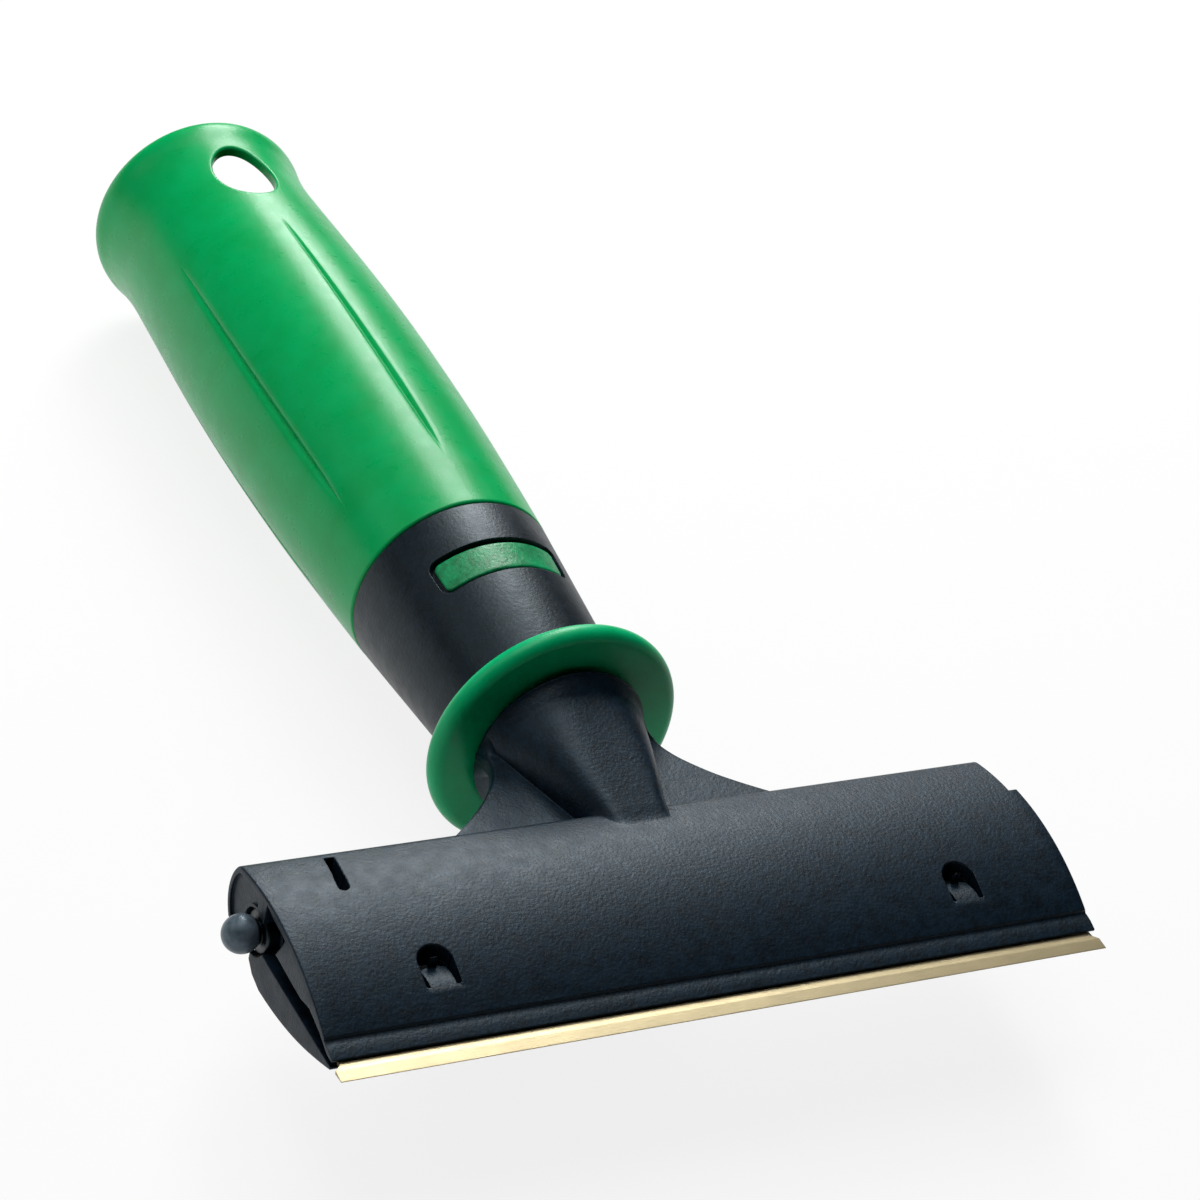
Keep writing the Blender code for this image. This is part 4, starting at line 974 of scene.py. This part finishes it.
def clamp_jaw(look):
    """The jaw: its shell with the pockets, and the knuckles that go round the pin."""
    outline, shares = jaw_outline()
    jaw = rounded_prism("jaw_shell", outline, shares, END_ROUNDING)
    cut(jaw, *rib_pockets(), hook_pocket(-1), hook_pocket(1))
    inset = END_KNUCKLE_LENGTH / 2
    ends = (LEFT_KNUCKLE + inset, KNUCKLE_EDGES[-1] + inset)
    join(jaw, stepped("jaw_knuckles", ends, (JAW_KNUCKLE_RADIUS,), around_pin))
    cut(jaw, jaw_hinge_room())
    return dressed(shaded(jaw), look, "jaw", "head_plastic", "clamp_jaw")


def blade_outline(rear, ground, honed):
    """Section of the blade: nicked corners behind, a ground bevel and a honed edge in front."""
    keen, nick = BLADE_THICKNESS / 12, BLADE_THICKNESS / 8
    tip = blade_level(-BLADE_REACH)
    outline = [(rear, blade_bottom(rear) + nick), (rear, blade_top(rear) - nick)]
    outline += [(rear - nick, blade_top(rear)), (ground, blade_top(ground))]
    outline += [(honed, blade_level(honed) + HONE_HALF), (-BLADE_REACH, tip + keen)]
    outline += [(-BLADE_REACH, tip - keen), (honed, blade_level(honed) - HONE_HALF)]
    return outline + [(ground, blade_bottom(ground)), (rear - nick, blade_bottom(rear))]


def blade_cutters(side, rear, ground):
    """Cutters at one end of the blade: what is missing behind its ear, and a hook's oval hole."""
    edge, inner = side * HALF_LENGTH, side * (HALF_LENGTH - BLADE_EAR)
    outer, deep = side * PAST_END, side * (HALF_LENGTH - BLADE_END_INSET)
    ear = [(outer, rear + OVERRUN), (outer, ground), (edge, ground), (inner, ground + BLADE_EAR)]
    ear += [(inner, -LIP_BACK + GAP), (deep, -LIP_BACK + GAP + BLADE_END_INSET - BLADE_EAR)]
    ear.append((deep, rear + OVERRUN))
    x, middle = side * HOOK_PLACE, -HOOK_BACK - HOOK_THICKNESS / 2
    radius, run = HOOK_FOOT_DEPTH / 2, HOOK_WIDTH / 2 + GAP
    hole = arc((x + run, middle), radius, -90, 90, 24) + arc((x - run, middle), radius, 90, 270, 24)
    return [prism("blade_cutter", outline, -COLLAR_BORE, COLLAR_BORE, along_z) for outline in (ear, hole)]


def scraper_blade(look):
    """The blade: flat steel with a ground bevel, a honed edge and oval holes for the catch hooks."""
    rear, ground, honed = (depth - BLADE_REACH for depth in (BLADE_DEPTH, BEVEL_DEPTH, HONE_DEPTH))
    outline = blade_outline(rear, ground, honed)
    blade = prism("ground_blade", outline, -HALF_LENGTH, HALF_LENGTH, along_x)
    cut(blade, *blade_cutters(-1, rear, ground), *blade_cutters(1, rear, ground))
    return dressed(shaded(blade, math.radians(3)), look, "jaw", "blade_steel", "scraper_blade")


def release_knob(look):
    """The knob on the pin's left end: a ball and a flange, with a blind bore for the pin."""
    tip = -HALF_LENGTH - KNOB_REACH
    inner = tip + KNOB_REACH / 2 + KNOB_SKIRT
    bore_end, bore = tip + KNOB_WALL - GAP, PIN_RADIUS + GAP / 2
    rim, reach, flange = KNOB_RADIUS / 6, KNOB_FLANGE_RADIUS, inner - KNOB_FLANGE
    profile = [(tip, 0)]
    for angle in spread(0, KNOB_BALL_TURN, 32)[1:]:
        profile.append((tip + KNOB_RADIUS * (1 - math.cos(angle)), KNOB_RADIUS * math.sin(angle)))
    profile.append((flange, profile[-1][1]))
    profile += [(flange + rim * along, reach - rim * inset) for along, inset in quarter()]
    profile += [(inner - rim * inset, reach - rim * along) for along, inset in quarter()]
    profile += [(inner, bore), (bore_end, bore), (bore_end, 0)]
    knob = turned("knob_cap", profile, around_pin, even_angles(SMALL_ROUND))
    return dressed(shaded(knob), look, "lock_pin", "knob_plastic", "release_knob")


def return_spring(look):
    """The coil spring between the knob and the frame: one round wire."""
    wire = SPRING_WIRE / 2
    rings = []
    for share in spread(0, 1, SPRING_TURNS * SPRING_TURN_STEPS):
        x = part_way(SPRING_START + wire, SPRING_END - wire, share)
        angle = 2 * math.pi * SPRING_TURNS * share
        ring = []
        for side in even_angles(SPRING_SIDES):
            radius = SPRING_MIDDLE_RADIUS + wire * math.cos(side)
            ring.append(around_pin(x + wire * math.sin(side), radius, angle))
        rings.append(ring)
    spring = lofted("knob_spring", rings)
    dressed(shaded(spring, math.radians(60)), look, "frame", "hardware_steel", "return_spring")
    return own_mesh(spring)


def collar_ring(look):
    """The guard collar: a flange with a slightly dished face and a full round rim."""
    rim = arc((COLLAR_RIM_MIDDLE, COLLAR_RADIUS - COLLAR_RIM), COLLAR_RIM, *COLLAR_RIM_DEGREES, 40)
    profile = []
    for share in spread(0, 1, 14)[:-1]:
        dish = COLLAR_DISH * (1 - share**2) ** 2
        profile.append((rim[0][0] + dish, part_way(COLLAR_BORE, rim[0][1], share)))
    profile += rim
    profile.append(((rim[-1][0] + COLLAR_LENGTH) / 2, (rim[-1][1] + COLLAR_BACK_RADIUS) / 2))
    profile += [(COLLAR_LENGTH, COLLAR_BACK_RADIUS), (COLLAR_LENGTH, COLLAR_BORE)]
    collar = turned("guard_collar", profile, around_handle, even_angles(ROUND))
    return dressed(shaded(collar), look, "frame", "green_plastic", "collar_ring")


def rounded_bar(reach, half_height, corner):
    """Half heights of a bar with rounded corners, at places along it."""
    straight = reach - corner
    ends = [(reach - corner * inset, half_height - corner * along) for along, inset in quarter(8)]
    inside = [(across, half_height) for across in spread(-straight, straight, PLATE_COLUMNS)[1:-1]]
    return [(-across, height) for across, height in reversed(ends)] + inside + ends


def border_distance(across, height, reach, half_height, corner):
    """How far a point of a rounded bar lies inside its border."""
    a = abs(across) - (reach - corner)
    b = abs(height) - (half_height - corner)
    outside = math.hypot(max(a, 0), max(b, 0))
    return corner - outside - min(max(a, b), 0)


def curved_plate(name, inner, outer, margin, rounding=0.0):
    """A plate bent round the handle. inner and outer are depths under the band's surface."""
    middle = BADGE_START + BADGE_HEIGHT / 2
    radius = band_radius(middle)
    reach, half = BADGE_HALF_ANGLE * radius + margin, BADGE_HEIGHT / 2 + margin
    corner = BADGE_CORNER + margin
    rings = []
    for across, height in rounded_bar(reach, half, corner):
        angle = across / radius + BADGE_TURN
        front, back = [], []
        for share in PLATE_ROWS:
            y = middle + height * share
            inside = border_distance(across, height * share, reach, half, corner)
            drop = 0.0
            if rounding and inside < rounding:
                drop = rounding - math.sqrt(rounding**2 - (rounding - max(0, inside)) ** 2)
            front.append(around_handle(y, band_radius(y) - outer - drop, angle))
            back.append(around_handle(y, band_radius(y) - inner, angle))
        rings.append(front + back[::-1])
    return lofted(name, rings)


def handle_core(look):
    """The stiff black core: bare band, pocket for the tang, bulkhead and tapered pole socket."""
    socket_start = BULKHEAD_START + BULKHEAD
    curve = [(BAND_ROUNDING * along, BAND_ROUNDING * inset) for along, inset in quarter()]
    profile = [(BAND_START, 0)]
    profile += [(BAND_START + run, band_radius(BAND_START + run) - drop) for run, drop in curve]
    profile += [(BAND_END - run, band_radius(BAND_END - run) - drop) for run, drop in reversed(curve)]
    profile.append((BAND_END, grip_radius(BAND_END) - GRIP_WALL - GAP))
    under = [(y, r - GRIP_WALL - GAP) for y, r in GRIP_PROFILE if BAND_END + GAP < y < CORE_END - GAP]
    profile += under[::6]
    profile += [(CORE_END, grip_radius(CORE_END) - GRIP_WALL - GAP), (CORE_END, SOCKET_MOUTH_RADIUS + GAP)]
    profile += [(CORE_END - GAP, SOCKET_MOUTH_RADIUS), (socket_start, SOCKET_BOTTOM_RADIUS)]
    core = turned("core_tube", profile + [(socket_start, 0)], around_handle, even_angles(ROUND))
    pocket = rounded_square(TANG_SIDE + 2 * GAP, TANG_CORNER + GAP)
    hole = (BULKHEAD_START - OVERRUN, socket_start + OVERRUN)
    cut(
        core,
        prism("tang_pocket", pocket, BAND_START - OVERRUN, BULKHEAD_START, along_y),
        stepped("screw_hole", hole, (SCREW_RADIUS + GAP,), around_handle),
        curved_plate("badge_pocket", BADGE_POCKET_DEPTH, -OVERRUN, BADGE_MARGIN),
    )
    return dressed(shaded(core), look, "frame", "core_plastic", "handle_core")


def band_badge(look):
    badge = curved_plate("badge_plate", BADGE_SINK + BADGE_THICKNESS, BADGE_SINK, 0, BADGE_ROUNDING)
    return dressed(shaded(badge, math.radians(50)), look, "frame", "green_plastic", "band_badge")


def groove_ring(t, radius):
    """Angles round the sleeve at t, crowded into each groove, with the groove's depth at each."""
    share = (t - GROOVE_START) / (GROOVE_END - GROOVE_START)
    inside = radius < GRIP_RADIUS - GRIP_WALL * 3 / 4
    swell = 0.0
    if not inside and 0 < share < 1:
        ends = min(1, GROOVE_END_FADE * share, GROOVE_END_FADE * (1 - share))
        swell = math.sqrt(min(1, GROOVE_OPENING * share) * (1 - share) * ends)
    half = GROOVE_HALF_WIDTH / GRIP_RADIUS * part_way(GROOVE_NARROW, 1, swell)
    sector = 2 * math.pi / GROOVE_COUNT
    ring = []
    for middle in even_angles(GROOVE_COUNT):
        for u in spread(-1, 1, 2 * GROOVE_STEPS):
            ring.append((middle + half * u, GROOVE_DEPTH * swell * (1 - abs(u)) ** GROOVE_POWER))
        between = spread(middle + half, middle + sector - half, GROOVE_BETWEEN)[1:-1]
        ring += [(angle, 0.0) for angle in between]
    return ring


def eye_cutter():
    """The hanging eye's cutter: an oval whose edge flares where it meets the sleeve's round surface."""
    oval = []
    for angle in even_angles(96):
        oval.append((EYE_WIDTH / 2 * math.cos(angle), EYE_MIDDLE + EYE_LENGTH / 2 * math.sin(angle)))
    rings = [[(x, y, GRIP_RADIUS / 3) for x, y in oval]]
    for along, inset in quarter(6):
        ring = []
        for x, y in grown(oval, EYE_ROUNDING * along):
            ring.append((x, y, math.sqrt(grip_radius(y) ** 2 - x**2) - EYE_ROUNDING * inset))
        rings.append(ring)
    rings.append([(x, y, GRIP_RADIUS + OVERRUN) for x, y in grown(oval, EYE_ROUNDING)])
    return lofted("eye", rings)


def grip_sleeve(look):
    """The soft sleeve: waisted outside, grooved, hollow at the butt, with an eye in its top wall."""
    begin, edge = BAND_END + GAP, GRIP_EDGE_ROUNDING
    start = [(begin + edge * along, edge * inset) for along, inset in quarter()]
    profile = [(y, grip_radius(y) - drop) for y, drop in start]
    profile += [point for point in GRIP_PROFILE if begin + edge < point[0]]
    inner_rim = GRIP_PROFILE[-1][1] - CUP_WALL
    profile += [(GRIP_END - edge * along, inner_rim + edge * inset) for along, inset in quarter()]
    shelf, at_core = CORE_END + GAP, grip_radius(CORE_END)
    cup = [(y, r - CUP_WALL) for y, r in GRIP_PROFILE if shelf < y < GRIP_END - 2 * edge]
    profile += cup[::-2] + [(shelf, at_core - CUP_WALL), (shelf, at_core - GRIP_WALL)]
    inside = [(y, r - GRIP_WALL) for y, r in GRIP_PROFILE if begin < y < CORE_END]
    profile += inside[::-6] + [(begin, grip_radius(BAND_END) - GRIP_WALL)]
    sleeve = turned("grooved_sleeve", profile, around_handle, groove_ring)
    cut(sleeve, eye_cutter())
    return dressed(shaded(sleeve), look, "frame", "green_grip", "grip_sleeve")


class Nodes:
    """The node tree of a material or world, with short ways to add nodes and link them."""

    def __init__(self, owner):
        owner.use_nodes = True
        self.tree = owner.node_tree

    def set(self, socket, value):
        if isinstance(value, bpy.types.NodeSocket):
            self.tree.links.new(value, socket)
        else:
            socket.default_value = value

    def add(self, kind, inputs=None, **settings):
        """Adds a node with its settings, and inputs by name or number, and gives back its outputs."""
        node = self.tree.nodes.new(kind)
        for name, value in settings.items():
            setattr(node, name, value)
        for key, value in (inputs or {}).items():
            self.set(node.inputs[key], value)
        return node.outputs

    def maths(self, operation, first, second):
        return self.add("ShaderNodeMath", {0: first, 1: second}, operation=operation)[0]


class Recipe(Nodes):
    """A procedural material, with the textures that it is mixed from."""

    def __init__(self, name):
        self.material = bpy.data.materials.new(name)
        super().__init__(self.material)
        self.shader = self.tree.nodes["Principled BSDF"]
        self.place = self.add("ShaderNodeTexCoord")["Object"]

    def shade(self, inputs):
        for name, value in inputs.items():
            self.set(self.shader.inputs[name], value)

    def noise(self, size, detail=3.0, roughness=0.55, stretch=None):
        """Noise whose features are about size metres across, stretched along an axis if asked."""
        place = self.place
        if stretch:
            place = self.add("ShaderNodeVectorMath", {0: place, 1: stretch}, operation="MULTIPLY")[0]
        inputs = {"Vector": place, "Scale": 1 / size, "Detail": detail, "Roughness": roughness}
        return self.add("ShaderNodeTexNoise", inputs)["Fac"]

    def ranged(self, value, low, high, to_low=0.0, to_high=1.0):
        inputs = {"Value": value, "From Min": low, "From Max": high, "To Min": to_low, "To Max": to_high}
        return self.add("ShaderNodeMapRange", inputs)["Result"]

    def mixed(self, share, first, second):
        return self.add("ShaderNodeMix", {0: share, 6: first, 7: second}, data_type="RGBA")[2]

    def rounded(self, radius):
        """The normal, turned along edges as if they were rounded to this radius."""
        return self.add("ShaderNodeBevel", {"Radius": radius}, samples=EDGE_SAMPLES)["Normal"]

    def edge_mask(self, rounded):
        """A mask that is 1 on edges, found from where the rounded normal leaves the flat one."""
        flat = self.add("ShaderNodeNewGeometry")["Normal"]
        dot = self.add("ShaderNodeVectorMath", {0: rounded, 1: flat}, operation="DOT_PRODUCT")["Value"]
        return self.ranged(dot, *EDGE_MASK_COSINES)

    def bump(self, height, distance, normal):
        inputs = {"Height": height, "Distance": distance, "Strength": 1.0, "Normal": normal}
        return self.add("ShaderNodeBump", inputs)["Normal"]


def colour(red, green, blue):
    """A linear colour from a display colour's parts, which run from 0 to 255."""
    parts = []
    for part in (red, green, blue):
        part /= 255
        parts.append(part / 12.92 if part <= 0.04045 else ((part + 0.055) / 1.055) ** 2.4)
    return (*parts, 1.0)


def moulded(
    name, dark, light, roughness, grain, height,
    worn_lit_edge=None, worn_lit_share=0.5, gloss=0.5, patch=0.0022, tint=WHITE, metallic=0.0,
):
    """Moulded plastic: mottled colour, a fine grain, uneven roughness, and paled edges that are partly
    rubbed wear and partly painted highlight.
    """
    made = Recipe(name)
    rounded = made.rounded(PLASTIC_EDGE)
    patches = made.ranged(made.noise(patch, 4.0, 0.65), 0.35, 0.65)
    specks = made.ranged(made.noise(grain * 1.6, 2.0, 0.6), 0.52, 0.75, 0.0, 0.45)
    tone = made.mixed(patches, colour(*dark), colour(*light))
    tone = made.mixed(specks, tone, colour(*light))
    # Paled edges: partly wear, partly a painted highlight where the rims catch the light.
    if worn_lit_edge:
        lit_and_rubbed = made.ranged(made.noise(PATCH_NOISE_SIZE), 0.35, 0.60, worn_lit_share * 0.5, worn_lit_share)
        tone = made.mixed(made.maths("MULTIPLY", made.edge_mask(rounded), lit_and_rubbed), tone, colour(*worn_lit_edge))
    made.shade({
        "Base Color": tone,
        "Roughness": made.ranged(made.noise(PATCH_NOISE_SIZE), 0.3, 0.7, roughness - 0.04, roughness + 0.04),
        "Normal": made.bump(made.noise(grain), height, rounded),
        "Metallic": metallic,
        "Specular IOR Level": gloss,
        "Specular Tint": tint,
    })
    return made


def steel(name, tone, roughness, brushed=(1, 40, 40), metallic=1.0):
    """Ground metal: fine scratches along one direction, and faint stains."""
    made = Recipe(name)
    tone = colour(*tone)
    deep = (*(part * 0.80 for part in tone[:3]), 1.0)
    lines = made.noise(0.004, 5.0, 0.7, brushed)
    base = made.mixed(made.ranged(made.noise(0.009), 0.3, 0.7, 0.0, 0.7), tone, deep)
    made.shade({
        "Base Color": made.mixed(made.ranged(lines, 0.45, 0.75, 0.0, 0.35), base, deep),
        "Metallic": metallic,
        "Roughness": made.ranged(lines, 0.3, 0.7, roughness - 0.06, roughness + 0.08),
        "Normal": made.bump(lines, SCRATCH_DEPTH, made.rounded(STEEL_EDGE)),
    })
    return made


def head_material():
    return moulded(
        "head_plastic", (2, 14, 24), (12, 33, 49), 0.47, 0.00065, 0.00009,
        worn_lit_edge=(74, 86, 98), worn_lit_share=0.35, gloss=0.32, tint=SLATE,
    )


def jaw_material():
    return moulded(
        "jaw_plastic", (4, 15, 25), (15, 32, 48), 0.48, 0.00055, 0.00007,
        worn_lit_edge=(70, 82, 96), worn_lit_share=0.4, gloss=0.22, tint=SLATE,
    )


def knob_material():
    """Smooth slate plastic, with painted shade: near black where the knob goes into the head, standing in
    for the recess's shadow.
    """
    made = moulded(
        "knob_plastic", (70, 84, 95), (100, 114, 125), 0.34, 0.0004, 0.00003, gloss=0.45, tint=SLATE
    )
    tone = made.shader.inputs["Base Color"].links[0].from_socket
    # Painted shade: the part of the knob inside the head's recess is coloured near black, as if shadowed.
    across = made.add("ShaderNodeSeparateXYZ", {"Vector": made.place})["X"]
    entry = ORIGIN.x - HALF_LENGTH
    inside = made.ranged(across, entry - 2 * GAP, entry)
    made.shade({"Base Color": made.mixed(inside, tone, colour(5, 9, 13))})
    return made


def core_material():
    return moulded(
        "core_plastic", (2, 11, 18), (11, 26, 37), 0.42, 0.0007, 0.00006,
        worn_lit_edge=(70, 80, 92), worn_lit_share=0.3, gloss=0.36, tint=SLATE,
    )


def grip_material():
    return moulded(
        "green_grip", (0, 168, 86), (0, 178, 97), 0.30, 0.00040, 0.00002,
        worn_lit_edge=(20, 172, 104), worn_lit_share=0.1, gloss=0.22, patch=0.009,
    )


def collar_material():
    return moulded(
        "green_plastic", (0, 182, 112), (0, 193, 124), 0.36, 0.0006, 0.00003,
        worn_lit_edge=(20, 178, 122), worn_lit_share=0.2, gloss=0.22, patch=0.006,
    )


def badge_material():
    return moulded(
        "badge_green", (0, 118, 68), (10, 160, 98), 0.38, 0.0008, 0.00010,
        worn_lit_edge=(60, 190, 130), worn_lit_share=0.3, gloss=0.3,
    )


def blade_material():
    """Ground steel under a warm haze, so it keeps some tone where it mirrors nothing bright."""
    return steel("blade_steel", (182, 168, 132), 0.38, metallic=0.75)


def hidden_steel():
    return steel("hardware_steel", (196, 198, 200), 0.30, (40, 1, 40))


def black_steel():
    return moulded("black_steel", (24, 26, 29), (38, 41, 45), 0.42, 0.0006, 0.00002, metallic=0.6)


def brass():
    return steel("insert_brass", (212, 178, 110), 0.32, (40, 40, 1))


def repaint(look, *nodes):
    """Gives CAD nodes that stay in view their procedural material."""
    for name in nodes:
        mesh = frame["nodes"][name].data
        mesh.materials.clear()
        mesh.materials.append(look.material)


def floor():
    """A wide pale floor. Seen by the camera or in a reflection it is near white, and shows soft shadow."""
    mesh = bpy.data.meshes.new("floor")
    corners = [(x * FLOOR_HALF, y * FLOOR_HALF, 0) for x, y in ((-1, -1), (1, -1), (1, 1), (-1, 1))]
    mesh.from_pydata(corners, [], [(0, 1, 2, 3)])
    material = bpy.data.materials.new("floor")
    made = Nodes(material)
    made.tree.nodes.remove(made.tree.nodes["Principled BSDF"])
    paper = made.add("ShaderNodeBsdfDiffuse", {"Color": (FLOOR_TONE, FLOOR_TONE, FLOOR_TONE, 1.0)})[0]
    glow = made.add("ShaderNodeEmission", {"Strength": 1.0})[0]
    path = made.add("ShaderNodeLightPath")
    seen = made.maths("MAXIMUM", path["Is Camera Ray"], path["Is Glossy Ray"])
    share = made.maths("MULTIPLY", seen, FLOOR_GLOW)
    mix = made.add("ShaderNodeMixShader", {0: share, 1: paper, 2: glow})[0]
    made.set(made.tree.nodes["Material Output"].inputs["Surface"], mix)
    mesh.materials.append(material)
    thing = linked("floor", mesh)


def world():
    """A dim even surround, which the camera itself sees as white."""
    studio = bpy.data.worlds.new("studio")
    bpy.context.scene.world = studio
    made = Nodes(studio)
    seen = made.add("ShaderNodeLightPath")["Is Camera Ray"]
    level = made.add("ShaderNodeMapRange", {"Value": seen, "To Min": WORLD_LEVEL, "To Max": 1.0})
    made.set(made.tree.nodes["Background"].inputs["Strength"], level["Result"])


def direction(azimuth, elevation):
    """A unit vector. Azimuth is counted from +Y towards +X, in degrees."""
    a, e = math.radians(azimuth), math.radians(elevation)
    return Vector((math.sin(a) * math.cos(e), math.cos(a) * math.cos(e), math.sin(e)))


def softbox(name, azimuth, elevation, width, height, radiance):
    """A rectangular lamp that faces the object's middle, as bright as its radiance says."""
    lamp = bpy.data.lights.new(name, "AREA")
    lamp.shape = "RECTANGLE"
    lamp.size, lamp.size_y = width, height
    lamp.energy = radiance * math.pi * width * height
    thing = linked(name, lamp)
    aim = direction(azimuth, elevation)
    middle = (Vector(CAD_BOX[0]) + Vector(CAD_BOX[1])) / 2
    thing.location = middle + aim * LAMP_DISTANCE
    thing.rotation_euler = aim.to_track_quat("Z", "Y").to_euler()


def camera():
    data = bpy.data.cameras.new("camera")
    data.lens = CAMERA_LENS
    data.sensor_width = data.sensor_height = CAMERA_SENSOR
    thing = linked("camera", data)
    turn = Matrix((CAMERA_RIGHT, CAMERA_UP, tuple(-part for part in CAMERA_FORWARD))).transposed()
    thing.matrix_world = Matrix.Translation(CAMERA_PLACE) @ turn.to_4x4()
    bpy.context.scene.camera = thing


bpy.context.scene.view_settings.view_transform = "Standard"
camera()
world()
for lamp_name, facts in LAMPS.items():
    softbox(lamp_name, *facts)
floor()

HEAD_PLASTIC = head_material()
STEEL = hidden_steel()
head_frame(HEAD_PLASTIC)
clamp_jaw(jaw_material())
scraper_blade(blade_material())
release_knob(knob_material())
return_spring(STEEL)
collar_ring(collar_material())
handle_core(core_material())
band_badge(badge_material())
grip_sleeve(grip_material())
repaint(STEEL, "hinge_pin", "pin_clip", "tang_screw", "screw_washer")
repaint(black_steel(), "left_catch_hook", "right_catch_hook")
repaint(HEAD_PLASTIC, "bore_plug")
repaint(brass(), "tang_insert")
